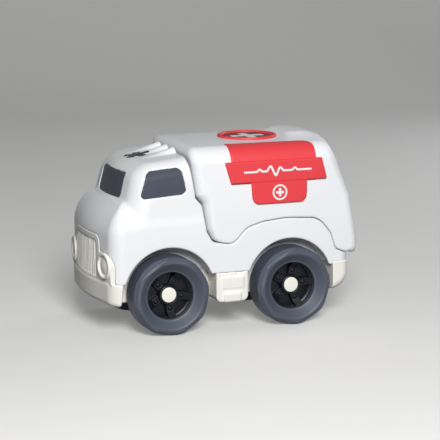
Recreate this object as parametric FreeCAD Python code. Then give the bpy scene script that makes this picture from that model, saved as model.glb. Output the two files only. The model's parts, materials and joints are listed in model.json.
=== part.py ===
import FreeCAD, Part
import math
import os

os.makedirs("parts", exist_ok=True)

Vector = FreeCAD.Vector

# Toy ambulance, millimetres. X runs across the vehicle (+X is its left side), -Y is forward, Z is up.
# Y is measured from the middle between the axles here, and each piece is moved at the end so that
# the middle of the whole length lies at Y = 0. The wheels stand on Z = 0.

# Overall sizes
body_half_width = 48.0
nose_y = -95.6
tail_y = 98.4
roof_z = 130.0
wheelbase = 93.0

# Working values
wall = 2.4
overrun = 5.0
seam_gap = 0.4
slip_gap = 0.3
press_gap = 0.05
edge_break = 0.6
edge_match = 0.06
full_turn = 360.0

# Wheels
tyre_radius = 28.2
tyre_width = 20.0
tyre_proud = 5.2
tyre_opening_radius = 17.0
tyre_bore_radius = 18.2
tyre_lip_depth = 5.0
tyre_lip_width = 1.6
tyre_sidewall_radius = 23.0
tyre_shoulder_radius = 25.4
tyre_tread_setback = 3.2
tyre_inner_setback = 2.0
tyre_scallop_count = 8
tyre_scallop_radius = 4.2
tyre_scallop_depth = 1.0
rim_wall = 1.5
rim_disc_thickness = 1.6
rim_disc_depth = 14.0
spoke_count = 5
front_spoke_turn = -27
rear_spoke_turn = -13
spoke_height = 3.4
spoke_width = 5.6
spoke_bend_radius = 12.4
spoke_tip_rise = 3.4
hub_radius = 7.2
hub_face_depth = 8.6
hub_end_gap = 0.5
bolt_circle_radius = 10.4
bolt_radius = 1.3
bolt_height = 1.0
cap_radius = 5.4
cap_height = 2.6
cap_seat_depth = 1.8
cap_crown = 0.5
axle_radius = 2.0
axle_clearance = 0.1
axle_tip_gap = 0.4
bearing_radius = 4.6
bearing_length = 8.0

# Cream chassis
well_depth = 17.6
chassis_floor_z = 22.0
sill_floor_z = 20.8
parting_z = 41.6
front_parting_z = 38.6
rear_parting_z = 43.6
bumper_proud = 0.8
bumper_floor_z = 22.4
bumper_foot_radius = 3.0
front_bumper_back_y = -79.8
rear_bumper_front_y = 76.6
rear_bumper_back_y = 90.6
rear_bumper_floor_z = 23.8
rear_bumper_foot_y = 83.4
rear_bumper_waist_y = 89.6
rear_bumper_waist_z = 36.4
rear_bumper_radius = 4.0
sill_front_y = -13.6
sill_rear_y = 10.4
sill_panel_height = 9.0
sill_panel_margin = 3.2
sill_panel_proud = 0.7
sill_slot_length = 6.4
sill_slot_height = 1.2
sill_slot_depth = 1.2
step_length = 13.0
step_height = 6.2
step_proud = 1.4
face_thickness = 3.2
face_proud = 0.6
lamp_inset = 12.9
lamp_z = 50.4
lamp_radius = 9.4
lamp_ring = 2.2
lamp_ring_height = 1.6
lamp_glass_height = 1.1
lamp_shoulder_inset = 3.2
grille_half_width = 22.6
grille_top_z = 66.8
grille_corner_radius = 6.4
grille_inner_radius = 4.6
grille_rib_count = 15
grille_rib_width = 1.6
grille_border = 4.4
grille_depth = 1.4
grille_foot_z = 41.0

# White cab and lower body
nose_corner_setback = 7.4
nose_corner_radius = 9.0
nose_crown_radius = 150.0
hood_front_z = 90.2
hood_foot_z = 94.6
hood_edge_radius = 22.0
hood_side_radius = 19.0
waist_z = 70.0
shoulder_z = 97.0
shoulder_inset = 1.2
lower_body_back_y = 90.0
lower_body_corner_radius = 7.0
screen_foot_y = -79.2
screen_slope = 0.262
screen_corner_setback = 6.4
screen_corner_radius = 14.0
screen_crown_radius = 120.0
cab_roof_drop = 12.2
cab_roof_slope = 0.12
cab_roof_crown = 1.4
cab_roof_crown_radius = 60.0
cab_roof_inset = 3.8
cab_roof_radius = 11.0
cab_brow_radius = 10.0
flute_spacing = 15.2
flute_half_width = 4.6
flute_front_y = -54.0
flute_rise = 5.2
arch_radius = 34.0
rear_arch_radius = 33.0
rear_arch_lead = 2.0
rear_arch_lift = 1.6

# Seam between the cab with the lower body and the rear body, from the roof down and back to the tail
back_top_y = -33.0
back_shoulder_y = -26.9
back_shoulder_z = 95.8
back_step_depth = 4.9
back_step_drop = 5.6
back_waist_y = -18.9
back_waist_z = 71.4
dip_front_y = -14.0
dip_front_z = 63.4
dip_rear_y = 1.6
dip_rear_z = 61.2
fender_rise_y = 11.6
fender_rise_z = 72.2
fender_front_y = 24.4
fender_front_z = 75.8
fender_crest_y = 42.0
fender_crest_z = 77.4
fender_back_y = 67.0
fender_back_z = 75.7
fender_fall_y = 76.4
fender_fall_z = 64.0
fender_tail_y = 80.2
fender_tail_z = 52.4
seam_tail_y = 87.2
seam_tail_z = 49.4
seam_end_z = 45.4
seam_step_radius = 0.8
seam_bend_radius = 4.0
seam_waist_radius = 5.0
seam_dip_front_radius = 7.0
seam_dip_rear_radius = 9.0
seam_rise_radius = 14.0
seam_crest_radius = 60.0
seam_fall_radius = 10.0

# White rear body
rear_waist_z = 78.0
rear_roof_inset = 2.4
rear_roof_radius = 11.5
rear_roof_crown = 1.2
rear_foot_z = 59.4
rear_mid_y = 91.2
rear_mid_z = 90.4
rear_head_y = 81.6
rear_head_drop = 14.0
rear_top_y = 76.0
rear_corner_radius = 8.0
rear_top_radius = 12.0
rear_front_radius = 4.0
rear_waist_radius = 200.0
hump_inset = 17.0
hump_front_y = 50.4
hump_crest_y = 55.6
hump_rise = 5.8
hump_back_y = 71.0
hump_tail_y = 84.0
hump_front_radius = 4.5
hump_shoulder_radius = 10.0
hump_crest_share = 0.5

# Windows
window_pocket = 1.5
window_recess = 0.4
window_gap = 0.1
screen_half_width = 24.4
screen_glass_foot_z = 95.8
screen_glass_head_drop = 16.6
screen_glass_taper = 0.6
screen_glass_radius = 3.2
side_glass_front_foot_y = -67.8
side_glass_foot_z = 97.2
side_glass_front_head_y = -60.8
side_glass_head_drop = 13.8
side_glass_back_head_y = -36.6
side_glass_back_rise = 1.9
side_glass_back_mid_y = -33.4
side_glass_back_mid_z = 101.6
side_glass_radius = 3.0
side_glass_foot_radius = 1.5
side_glass_head_radius = 4.2

# Red side signs and roof dish
sign_thickness = 1.2
sign_front_y = 0.0
sign_back_y = 64.8
sign_inset = 15.0
sign_foot_drop = 26.0
sign_corner_radius = 9.0
banner_thickness = 2.4
banner_front_head_y = -4.9
banner_front_foot_y = -0.5
banner_back_head_y = 68.9
banner_back_foot_y = 72.6
banner_head_drop = 10.2
banner_foot_drop = 25.2
banner_corner_radius = 0.8
tab_thickness = 1.8
tab_front_y = 14.6
tab_back_y = 57.8
tab_foot_drop = 41.0
tab_corner_radius = 5.4
tab_taper = 1.2
sign_peg_radius = 2.0
sign_peg_drop = 18.0
sign_peg_margin = 12.0
dish_y = 30.4
dish_radius = 21.6
dish_rim_width = 2.6
dish_rim_height = 2.2
dish_rim_radius = 0.8
dish_floor_height = 0.6
dish_seat_depth = 1.2
dish_peg_radius = 4.0

# Screws and their posts
screw_radius = 1.5
screw_head_radius = 2.8
screw_head_height = 1.8
screw_length = 12.0
screw_clearance = 0.15
screw_head_sink = 0.1
screw_pad_height = 2.0
deck_boss_rise = 1.4
deck_boss_drop = 0.8
post_radius = 4.2
nose_post_x = 20.0
nose_post_y = -84.5
tail_post_x = 18.0
tail_post_y = 64.0
deck_post_x = 22.0
deck_post_front_y = -4.0
deck_post_back_y = 40.0

# Places that follow from the sizes above
half_wheelbase = wheelbase / 2
axle_z = tyre_radius
tyre_face_x = body_half_width + tyre_proud
chassis_half_width = body_half_width - well_depth
well_inner_x = chassis_half_width
lamp_x = body_half_width - lamp_inset
lamp_shoulder_x = body_half_width - lamp_shoulder_inset
shoulder_half_width = body_half_width - shoulder_inset
cab_roof_half_width = body_half_width - cab_roof_inset
rear_roof_half_width = body_half_width - rear_roof_inset
hump_half_width = body_half_width - hump_inset
sign_roof_x = body_half_width - sign_inset
cab_roof_front_z = roof_z - cab_roof_drop
rear_head_z = roof_z - rear_head_drop
side_glass_head_z = roof_z - side_glass_head_drop
screen_glass_head_z = roof_z - screen_glass_head_drop
sign_foot_z = roof_z - sign_foot_drop
banner_head_z = roof_z - banner_head_drop
banner_foot_z = roof_z - banner_foot_drop
tab_foot_z = roof_z - tab_foot_drop
sign_peg_z = roof_z - sign_peg_drop
hump_crest_z = roof_z + hump_rise


def rounded_wire(corners, radii):
    """Closed outline through the corners, each rounded by its own radius (zero keeps it sharp)."""
    count = len(corners)
    starts = []
    arcs = []
    for i in range(count):
        corner = corners[i]
        to_last = (corners[i - 1] - corner).normalize()
        to_next = (corners[(i + 1) % count] - corner).normalize()
        half_angle = to_last.getAngle(to_next) / 2
        reach = radii[i] / math.tan(half_angle)
        first = corner + to_last * reach
        second = corner + to_next * reach
        starts.append((first, second))
        if radii[i] > 0:
            bisector = (to_last + to_next).normalize()
            depth = radii[i] / math.sin(half_angle) - radii[i]
            arcs.append(Part.Arc(first, corner + bisector * depth, second).toShape())
        else:
            arcs.append(None)
    edges = []
    for i in range(count):
        if arcs[i] is not None:
            edges.append(arcs[i])
        line_start = starts[i][1]
        line_end = starts[(i + 1) % count][0]
        edges.append(Part.makeLine(line_start, line_end))
    return Part.Wire(edges)


def prism(corners, radii, along, inset=0.0):
    """Solid with a rounded outline, moved inward by the inset, drawn out along a vector."""
    wire = rounded_wire(corners, radii)
    if inset > 0:
        wire = wire.makeOffset2D(-inset)
    return Part.Face(wire).extrude(along)


def side_prism(points, radii, x_from, x_to, inset=0.0):
    """Outline seen from the side, given as (y, z), drawn out across the vehicle."""
    corners = [Vector(x_from, y, z) for y, z in points]
    return prism(corners, radii, Vector(x_to - x_from, 0, 0), inset)


def plan_prism(points, radii, z_from, z_to, slope=0.0, inset=0.0):
    """Outline seen from above, given as (x, y), drawn up and leaned back by the slope."""
    corners = [Vector(x, y, z_from) for x, y in points]
    height = z_to - z_from
    return prism(corners, radii, Vector(0, height * slope, height), inset)


def front_prism(points, radii, y_from, y_to, slope=0.0, inset=0.0):
    """Outline seen from the front, given as (x, z), drawn back and raised by the slope."""
    corners = [Vector(x, y_from, z) for x, z in points]
    depth = y_to - y_from
    return prism(corners, radii, Vector(0, depth, depth * slope), inset)


def box(x_from, x_to, y_from, y_to, z_from, z_to):
    """Block between two corners."""
    return Part.makeBox(x_to - x_from, y_to - y_from, z_to - z_from, Vector(x_from, y_from, z_from))


def cross_cylinder(radius, x_from, x_to, y, z):
    """Cylinder that lies across the vehicle."""
    return Part.makeCylinder(radius, x_to - x_from, Vector(x_from, y, z), Vector(1, 0, 0))


def post(radius, x, y, z_from, z_to):
    """Upright cylinder."""
    return Part.makeCylinder(radius, z_to - z_from, Vector(x, y, z_from), Vector(0, 0, 1))


def joined(solids):
    """One solid out of several that touch or overlap."""
    whole = solids[0]
    for solid in solids[1:]:
        whole = whole.fuse(solid)
    return whole.removeSplitter()


def mirrored(shape):
    """The same shape on the other side of the vehicle."""
    return shape.mirror(Vector(0, 0, 0), Vector(1, 0, 0))


def both_sides(shape):
    """A left shape with its right twin."""
    return [shape, mirrored(shape)]


def seam_points():
    """Corners of the seam, from above the roof down, back and out past the tail."""
    return [
        (back_top_y, hump_crest_z),
        (back_shoulder_y, back_shoulder_z),
        (back_shoulder_y + back_step_depth, back_shoulder_z - back_step_drop),
        (back_waist_y, back_waist_z),
        (dip_front_y, dip_front_z),
        (dip_rear_y, dip_rear_z),
        (fender_rise_y, fender_rise_z),
        (fender_front_y, fender_front_z),
        (fender_crest_y, fender_crest_z),
        (fender_back_y, fender_back_z),
        (fender_fall_y, fender_fall_z),
        (fender_tail_y, fender_tail_z),
        (seam_tail_y, seam_tail_z),
        (tail_y + overrun, seam_end_z),
        (tail_y + overrun, hump_crest_z + overrun),
        (back_top_y, hump_crest_z + overrun),
    ]


def rear_region(inset=0.0):
    """All the space above and behind the seam, where the rear body stands."""
    step = [seam_step_radius, seam_bend_radius]
    waist_and_dip = [seam_waist_radius, seam_dip_front_radius, seam_dip_rear_radius]
    fender = [seam_rise_radius, seam_rise_radius, seam_crest_radius, seam_rise_radius, seam_fall_radius]
    tail = [seam_waist_radius, seam_step_radius, 0, 0, 0]
    radii = [0] + step + waist_and_dip + fender + tail
    reach = body_half_width + overrun
    return side_prism(seam_points(), radii, -reach, reach, inset)


def nose_plan(half_width, back_y, grow=0.0):
    """Outline of the body from above: a gently crowned nose with round corners, and a square back."""
    side = half_width + grow
    corner_y = nose_y + nose_corner_setback - grow
    crown_y = nose_y - grow
    points = [(-side, back_y), (-side, corner_y), (0, crown_y), (side, corner_y), (side, back_y)]
    back_radius = lower_body_corner_radius
    radii = [back_radius, nose_corner_radius, nose_crown_radius, nose_corner_radius, back_radius]
    return points, radii


def nose_front_y(proud):
    """Foremost place of the crowned nose outline, grown by a proud height."""
    half_angle = math.atan2(body_half_width + proud, nose_corner_setback)
    return nose_y - proud + nose_crown_radius / math.sin(half_angle) - nose_crown_radius


def base_form(inset, foot_z):
    """Cab below the windows in one with the lower body, filled."""
    points, radii = nose_plan(body_half_width, lower_body_back_y)
    plan = plan_prism(points, radii, foot_z, shoulder_z + overrun, inset=inset)
    side = [
        (nose_y - overrun, foot_z - inset),
        (lower_body_back_y + overrun, foot_z - inset),
        (lower_body_back_y + overrun, shoulder_z),
        (screen_foot_y, hood_foot_z),
        (nose_y, hood_front_z),
        (nose_y, rear_parting_z),
        (nose_y - overrun, rear_parting_z),
    ]
    side_radii = [0, 0, 0, 0, hood_edge_radius, 0, 0]
    reach = body_half_width + overrun
    profile = side_prism(side, side_radii, -reach, reach, inset)
    front = [
        (-body_half_width, foot_z - overrun),
        (body_half_width, foot_z - overrun),
        (body_half_width, waist_z),
        (shoulder_half_width, shoulder_z),
        (-shoulder_half_width, shoulder_z),
        (-body_half_width, waist_z),
    ]
    front_radii = [0, 0, 0, hood_side_radius, hood_side_radius, 0]
    back_y = lower_body_back_y + overrun
    across = front_prism(front, front_radii, nose_y - overrun, back_y, inset=inset)
    return plan.common(profile).common(across)


def greenhouse_form(inset):
    """Cab above the hood, filled: leaning screen, round corners and a roof that rises to the back."""
    foot_z = waist_z
    roof_lift = screen_slope * (hood_foot_z - foot_z)
    crown_y = screen_foot_y - roof_lift
    corner_y = crown_y + screen_corner_setback
    side_x = shoulder_half_width + seam_gap
    points = [(-side_x, 0), (-side_x, corner_y), (0, crown_y), (side_x, corner_y), (side_x, 0)]
    radii = [0, screen_corner_radius, screen_crown_radius, screen_corner_radius, 0]
    plan = plan_prism(points, radii, foot_z, roof_z + overrun, screen_slope, inset)
    front_y = nose_y
    roof_at_front = cab_roof_front_z - cab_roof_slope * (screen_foot_y - front_y)
    front = [
        (-shoulder_half_width, foot_z - overrun),
        (shoulder_half_width, foot_z - overrun),
        (shoulder_half_width, shoulder_z),
        (cab_roof_half_width, roof_at_front),
        (0, roof_at_front + cab_roof_crown),
        (-cab_roof_half_width, roof_at_front),
        (-shoulder_half_width, shoulder_z),
    ]
    front_radii = [0, 0, 0, cab_roof_radius, cab_roof_crown_radius, cab_roof_radius, 0]
    across = front_prism(front, front_radii, front_y, overrun, cab_roof_slope, inset)
    head_y = screen_foot_y + screen_slope * (cab_roof_front_z - hood_foot_z)
    side = [
        (crown_y, foot_z - inset),
        (overrun, foot_z - inset),
        (overrun, cab_roof_front_z + cab_roof_crown + cab_roof_slope * (overrun - head_y)),
        (head_y, cab_roof_front_z + cab_roof_crown),
    ]
    reach = body_half_width + overrun
    profile = side_prism(side, [0, 0, 0, cab_brow_radius], -reach, reach, inset)
    return plan.common(across).common(profile)


def cab_form(inset, foot_z):
    """Whole cab and lower body, filled."""
    return base_form(inset, foot_z).fuse(greenhouse_form(inset)).removeSplitter()


def arch_centre(sign):
    """Middle of a wheel arch; the rear arch stands a little forward of its axle and higher."""
    if sign < 0:
        return -half_wheelbase, axle_z, arch_radius
    return half_wheelbase - rear_arch_lead, axle_z + rear_arch_lift, rear_arch_radius


def wheel_well(sign, grow):
    """Space of the left wheel inside its arch, open downward."""
    y, z, radius = arch_centre(sign)
    inner_x = well_inner_x - grow
    outer_x = body_half_width + overrun
    reach = radius + grow
    round_part = cross_cylinder(reach, inner_x, outer_x, y, z)
    foot = box(inner_x, outer_x, y - reach, y + reach, -overrun, z)
    return round_part.fuse(foot)


def wheel_wells(grow):
    """All four wheel spaces."""
    wells = []
    for sign in (-1, 1):
        wells += both_sides(wheel_well(sign, grow))
    return wells


def roof_flutes():
    """Three raised ribs that climb to the back edge of the cab roof."""
    roof_start_z = cab_roof_front_z + cab_roof_crown / 2 + cab_roof_slope * (flute_front_y - screen_foot_y)
    back_y = back_top_y + overrun
    flutes = []
    for place in (-1, 0, 1):
        start = Vector(place * flute_spacing, flute_front_y, roof_start_z - flute_half_width)
        run = back_y - flute_front_y
        direction = Vector(0, run, run * cab_roof_slope + flute_rise)
        flutes.append(Part.makeCylinder(flute_half_width, direction.Length, start, direction))
    return flutes


def side_glass_points(grow):
    """Corners of the side window, grown or shrunk evenly."""
    return [
        (side_glass_front_foot_y - grow, side_glass_foot_z - grow),
        (side_glass_front_head_y - grow, side_glass_head_z + grow),
        (side_glass_back_head_y + grow, side_glass_head_z + side_glass_back_rise + grow),
        (side_glass_back_mid_y + grow, side_glass_back_mid_z),
        (side_glass_back_mid_y - side_glass_radius + grow, side_glass_foot_z + side_glass_back_rise - grow),
    ]


def side_glass_region(grow):
    """Block through the left wall where the side window sits."""
    head_radii = [side_glass_head_radius] * 2
    radii = [side_glass_radius] + head_radii + [side_glass_foot_radius] * 2
    return side_prism(side_glass_points(grow), radii, well_inner_x, body_half_width + overrun)


def screen_region(grow):
    """Block through the front wall where the windscreen sits."""
    foot_x = screen_half_width + grow
    head_x = screen_half_width - screen_glass_taper + grow
    foot = screen_glass_foot_z - grow
    head = screen_glass_head_z + grow
    points = [(-foot_x, foot), (foot_x, foot), (head_x, head), (-head_x, head)]
    radii = [screen_glass_radius] * 4
    return front_prism(points, radii, nose_y, -half_wheelbase)


def glass_regions(grow):
    """Windscreen and both side windows."""
    return [screen_region(grow)] + both_sides(side_glass_region(grow))


def face_outline(grow):
    """Front outline of the cream face: a round topped lamp housing on each side of the grille arch."""
    lamp_top = lamp_z + lamp_radius
    arch_x = grille_half_width + grille_border
    arch_top = grille_top_z + grille_border
    points = [
        (-lamp_shoulder_x - grow, bumper_floor_z),
        (lamp_shoulder_x + grow, bumper_floor_z),
        (lamp_shoulder_x + grow, lamp_top + grow),
        (arch_x + grow, lamp_top + grow),
        (arch_x + grow, arch_top + grow),
        (-arch_x - grow, arch_top + grow),
        (-arch_x - grow, lamp_top + grow),
        (-lamp_shoulder_x - grow, lamp_top + grow),
    ]
    radii = [0, 0, lamp_radius, 0, grille_corner_radius, grille_corner_radius, 0, lamp_radius]
    return points, radii


def face_region(grow):
    """Block through the nose that holds the cream face."""
    points, radii = face_outline(grow)
    return front_prism(points, radii, nose_y - overrun, nose_y + nose_corner_radius + nose_corner_setback)


def nose_layer(grow, depth):
    """Skin of the nose between two even offsets of its plan outline."""
    half_height = roof_z - sill_floor_z
    points, radii = nose_plan(body_half_width, 0)
    outer_radii = [radii[0], radii[1] + grow, radii[2], radii[3] + grow, radii[4]]
    outer_points, _ = nose_plan(body_half_width, 0, grow)
    outer = plan_prism(outer_points, outer_radii, sill_floor_z, half_height)
    inner = plan_prism(points, radii, sill_floor_z - overrun, half_height + overrun, inset=depth)
    return outer.cut(inner)


def post_places():
    """Posts of the cab shell that take the chassis screws."""
    return [
        (nose_post_x, nose_post_y, hood_foot_z),
        (-nose_post_x, nose_post_y, hood_foot_z),
        (tail_post_x, tail_post_y, fender_back_z),
        (-tail_post_x, tail_post_y, fender_back_z),
    ]


def deck_places():
    """Posts of the rear body that take the deck screws, with the height of the deck there."""
    return [
        (deck_post_x, deck_post_front_y, dip_rear_z),
        (-deck_post_x, deck_post_front_y, dip_rear_z),
        (deck_post_x, deck_post_back_y, fender_crest_z),
        (-deck_post_x, deck_post_back_y, fender_crest_z),
    ]


def screw(x, y, head_z):
    """Pan head screw that points up, its head under head_z."""
    head = post(screw_head_radius, x, y, head_z - screw_head_height, head_z)
    shank = post(screw_radius, x, y, head_z, head_z + screw_length)
    return head.fuse(shank).removeSplitter()


def chassis_screw_seat():
    """Height of the face that a chassis screw's head presses on."""
    return chassis_floor_z + screw_head_height + screw_head_sink


def pad_top_z():
    """Top of the pads on the chassis floor, where the posts of the cab shell stand."""
    return chassis_floor_z + wall + screw_pad_height


def deck_screw_seat(deck_z):
    """Height of the face under the deck that a deck screw's head presses on."""
    return deck_z - wall - deck_boss_drop


def make_cab_shell():
    """White cab in one with the lower body and its deck, hollow and open underneath."""
    form = cab_form(0, front_parting_z)
    form = joined([form] + roof_flutes())
    form = form.cut(rear_region())
    tub_space = box(-chassis_half_width, chassis_half_width, nose_y, tail_y, chassis_floor_z, parting_z)
    filled = form.fuse(tub_space)
    hollow = cab_form(wall, front_parting_z - overrun).cut(rear_region_grown())
    for well in wheel_wells(wall):
        hollow = hollow.cut(well)
    shell = form.cut(hollow)
    for well in wheel_wells(0):
        shell = shell.cut(well)
    reach = body_half_width + overrun
    end_y = lower_body_back_y + overrun
    tub_x = chassis_half_width
    shell = shell.cut(box(-reach, reach, -half_wheelbase, end_y, 0, parting_z))
    shell = shell.cut(box(-tub_x, tub_x, front_bumper_back_y - wall, end_y, 0, parting_z))
    shell = shell.cut(box(-reach, reach, rear_bumper_front_y, end_y, 0, rear_parting_z))
    pocket_floor = cab_form(window_pocket, front_parting_z)
    for region in glass_regions(0):
        shell = shell.cut(region.cut(pocket_floor))
    face_layer = nose_layer(face_proud + overrun, face_thickness + slip_gap)
    shell = shell.cut(face_region(slip_gap / 2).common(face_layer))
    parts = [shell]
    for x, y, top_z in post_places():
        parts.append(post(post_radius, x, y, pad_top_z(), top_z).common(filled))
    for x, y, deck_z in deck_places():
        parts.append(post(post_radius, x, y, deck_screw_seat(deck_z), deck_z + deck_boss_rise))
    shell = joined(parts)
    for x, y, top_z in post_places():
        shell = shell.cut(post(screw_radius, x, y, 0, chassis_screw_seat() + screw_length))
    for x, y, deck_z in deck_places():
        shell = shell.cut(post(screw_radius + screw_clearance, x, y, deck_z - overrun, deck_z + overrun))
    return shell


def rear_region_grown():
    """Space of the rear body with the thickness of the deck and of the cab's back wall added."""
    grown = []
    for y_move, z_move in ((0, 0), (0, -wall), (-wall, 0), (-wall, -wall)):
        moved = rear_region()
        moved.translate(Vector(0, y_move, z_move))
        grown.append(moved)
    return joined(grown)


def rear_outline():
    """Side outline of the rear body above its seam."""
    foot_y = back_top_y - overrun
    foot_z = parting_z - overrun
    return [
        (foot_y, foot_z),
        (tail_y, foot_z),
        (tail_y, rear_foot_z),
        (rear_mid_y, rear_mid_z),
        (rear_head_y, rear_head_z),
        (rear_top_y, roof_z + rear_roof_crown),
        (foot_y, roof_z + rear_roof_crown),
    ]


def rear_upper_slope():
    """How far the upper half of the back leans forward for each unit of height."""
    return (rear_head_y - rear_mid_y) / (rear_head_z - rear_mid_z)


def rear_plan(back_y, z_from, z_to, slope, inset):
    """One length of the rear body's plan outline, with its round back corners leaned by the slope."""
    side = body_half_width
    points = [(-side, nose_y), (side, nose_y), (side, back_y), (-side, back_y)]
    radii = [0, 0, rear_corner_radius, rear_corner_radius]
    return plan_prism(points, radii, z_from, z_to, slope, inset)


def rear_form(inset):
    """Rear body, filled, without its seam cut."""
    foot_z = parting_z - overrun
    front = [
        (-body_half_width, foot_z),
        (body_half_width, foot_z),
        (body_half_width, rear_waist_z),
        (rear_roof_half_width, roof_z),
        (0, roof_z + rear_roof_crown),
        (-rear_roof_half_width, roof_z),
        (-body_half_width, rear_waist_z),
    ]
    front_radii = [0, 0, rear_waist_radius, rear_roof_radius, 0, rear_roof_radius, rear_waist_radius]
    across = front_prism(front, front_radii, back_top_y - overrun, tail_y + overrun, inset=inset)
    side_radii = [0, 0, rear_top_radius, rear_top_radius, rear_top_radius, rear_front_radius, 0]
    reach = body_half_width + overrun
    profile = side_prism(rear_outline(), side_radii, -reach, reach, inset)
    skirt = rear_plan(tail_y, foot_z, rear_foot_z, 0, inset)
    lower_slope = (rear_mid_y - tail_y) / (rear_mid_z - rear_foot_z)
    lower = rear_plan(tail_y, rear_foot_z, rear_mid_z, lower_slope, inset)
    upper = rear_plan(rear_mid_y, rear_mid_z, roof_z + overrun, rear_upper_slope(), inset)
    return across.common(profile).common(joined([skirt, lower, upper]))


def hump_form(inset):
    """Raised fairing on the back of the roof, behind the dish, filled."""
    low_z = roof_z - wall - overrun
    side = [
        (hump_front_y, low_z),
        (hump_tail_y, low_z),
        (hump_back_y, hump_crest_z),
        (hump_crest_y, hump_crest_z),
        (hump_front_y, roof_z),
    ]
    side_radii = [0, 0, rear_top_radius, hump_front_radius, 0]
    profile = side_prism(side, side_radii, -hump_half_width, hump_half_width, inset)
    front = [
        (-hump_half_width, low_z - overrun),
        (hump_half_width, low_z - overrun),
        (hump_half_width, roof_z),
        (hump_half_width * hump_crest_share, hump_crest_z),
        (-hump_half_width * hump_crest_share, hump_crest_z),
        (-hump_half_width, roof_z),
    ]
    front_radii = [0, 0, 0, hump_shoulder_radius, hump_shoulder_radius, 0]
    across = front_prism(front, front_radii, hump_front_y - overrun, hump_tail_y + overrun, inset=inset)
    back = rear_plan(rear_mid_y, rear_mid_z, hump_crest_z + overrun, rear_upper_slope(), inset)
    return profile.common(across).common(back)


def make_rear_body():
    """White rear body, hollow and open underneath, with seats for the dish and the side signs."""
    form = joined([rear_form(0), hump_form(0)]).common(rear_region(seam_gap))
    hollow = rear_form(wall).fuse(hump_form(wall))
    shell = form.cut(hollow.common(rear_room()))
    parts = [shell]
    for x, y, deck_z in deck_places():
        parts.append(post(post_radius, x, y, deck_z + deck_boss_rise, roof_z - wall / 2))
    shell = joined(parts)
    for x, y, deck_z in deck_places():
        shell = shell.cut(post(screw_radius, x, y, deck_z, deck_screw_seat(deck_z) + screw_length))
    seat_z = roof_z + rear_roof_crown - dish_seat_depth
    shell = shell.cut(post(dish_radius + press_gap, 0, dish_y, seat_z, roof_z + overrun))
    shell = shell.cut(post(dish_peg_radius + press_gap, 0, dish_y, roof_z - overrun, roof_z + overrun))
    peg_radius = sign_peg_radius + press_gap
    reach = body_half_width + overrun
    for y in sign_peg_places():
        for peg in both_sides(cross_cylinder(peg_radius, well_inner_x, reach, y, sign_peg_z)):
            shell = shell.cut(peg)
    return shell


def rear_room():
    """Space behind the front wall of the rear body, open to the deck from the dip to the fender's fall."""
    behind_wall = rear_region(seam_gap)
    behind_wall.translate(Vector(0, wall, 0))
    reach = body_half_width + overrun
    over_deck = box(-reach, reach, dip_front_y + wall, fender_back_y, 0, roof_z + overrun)
    return behind_wall.fuse(rear_region(seam_gap).common(over_deck))


def sign_peg_places():
    """Places along the side sign of its two press pegs."""
    return [sign_front_y + sign_peg_margin, sign_back_y - sign_peg_margin]


def rear_skin(height):
    """Layer of even thickness on the outside of the rear body, on the left."""
    front = [
        (0, dip_rear_z),
        (body_half_width + height, dip_rear_z),
        (body_half_width + height, rear_waist_z),
        (rear_roof_half_width + height, roof_z + height),
        (0, roof_z + rear_roof_crown + height),
    ]
    radii = [0, 0, 0, rear_roof_radius + height, 0]
    outer = front_prism(front, radii, back_top_y, tail_y)
    return outer.cut(rear_form(0))


def make_sign():
    """Left red sign: panel that wraps onto the roof, raised banner and lower tab, with two pegs."""
    panel_points = [
        (sign_front_y, sign_foot_z),
        (sign_back_y, sign_foot_z),
        (sign_back_y, roof_z + overrun),
        (sign_front_y, roof_z + overrun),
    ]
    panel = side_prism(panel_points, [0, 0, 0, 0], sign_roof_x, body_half_width + overrun)
    corner_points = [
        (sign_roof_x, sign_front_y),
        (body_half_width + overrun + sign_corner_radius, sign_front_y),
        (body_half_width + overrun + sign_corner_radius, sign_back_y),
        (sign_roof_x, sign_back_y),
    ]
    corner_radii = [0, 0, 0, sign_corner_radius]
    panel = panel.common(plan_prism(corner_points, corner_radii, sign_foot_z, roof_z + overrun))
    panel = panel.common(rear_skin(sign_thickness))
    banner_points = [
        (banner_front_foot_y, banner_foot_z),
        (banner_back_foot_y, banner_foot_z),
        (banner_back_head_y, banner_head_z),
        (banner_front_head_y, banner_head_z),
    ]
    reach = body_half_width + overrun
    banner = side_prism(banner_points, [banner_corner_radius] * 4, well_inner_x, reach)
    banner = banner.common(rear_skin(banner_thickness))
    tab_points = [
        (tab_front_y, banner_foot_z + overrun),
        (tab_front_y + tab_taper, tab_foot_z),
        (tab_back_y - tab_taper, tab_foot_z),
        (tab_back_y, banner_foot_z + overrun),
    ]
    tab = side_prism(tab_points, [0, tab_corner_radius, tab_corner_radius, 0], well_inner_x, reach)
    tab = tab.common(rear_skin(tab_thickness))
    pieces = [panel, banner, tab]
    inner_face_x = rear_roof_half_width - wall - edge_break
    for y in sign_peg_places():
        pieces.append(cross_cylinder(sign_peg_radius, inner_face_x, body_half_width, y, sign_peg_z))
    return joined(pieces)


def make_dish():
    """Red roof dish: low floor, raised round rim and a centre peg."""
    seat_z = roof_z + rear_roof_crown - dish_seat_depth
    rim_z = roof_z + rear_roof_crown + dish_rim_height
    body = post(dish_radius, 0, dish_y, seat_z, rim_z)
    body = softened(body, rim_z, dish_rim_radius)
    floor_z = seat_z + dish_floor_height + dish_seat_depth
    hollow = post(dish_radius - dish_rim_width, 0, dish_y, floor_z, rim_z + overrun)
    peg = post(dish_peg_radius, 0, dish_y, roof_z - wall - edge_break, seat_z + dish_floor_height)
    return joined([body.cut(hollow), peg])


def make_side_glass():
    """Left side window pane, set a little below the skin."""
    region = side_glass_region(-window_gap)
    layer = cab_form(window_recess, front_parting_z).cut(cab_form(window_pocket, front_parting_z - overrun))
    return region.common(layer)


def make_windscreen():
    """Windscreen pane, set a little below the skin."""
    region = screen_region(-window_gap)
    layer = cab_form(window_recess, front_parting_z).cut(cab_form(window_pocket, front_parting_z - overrun))
    return region.common(layer)


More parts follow.
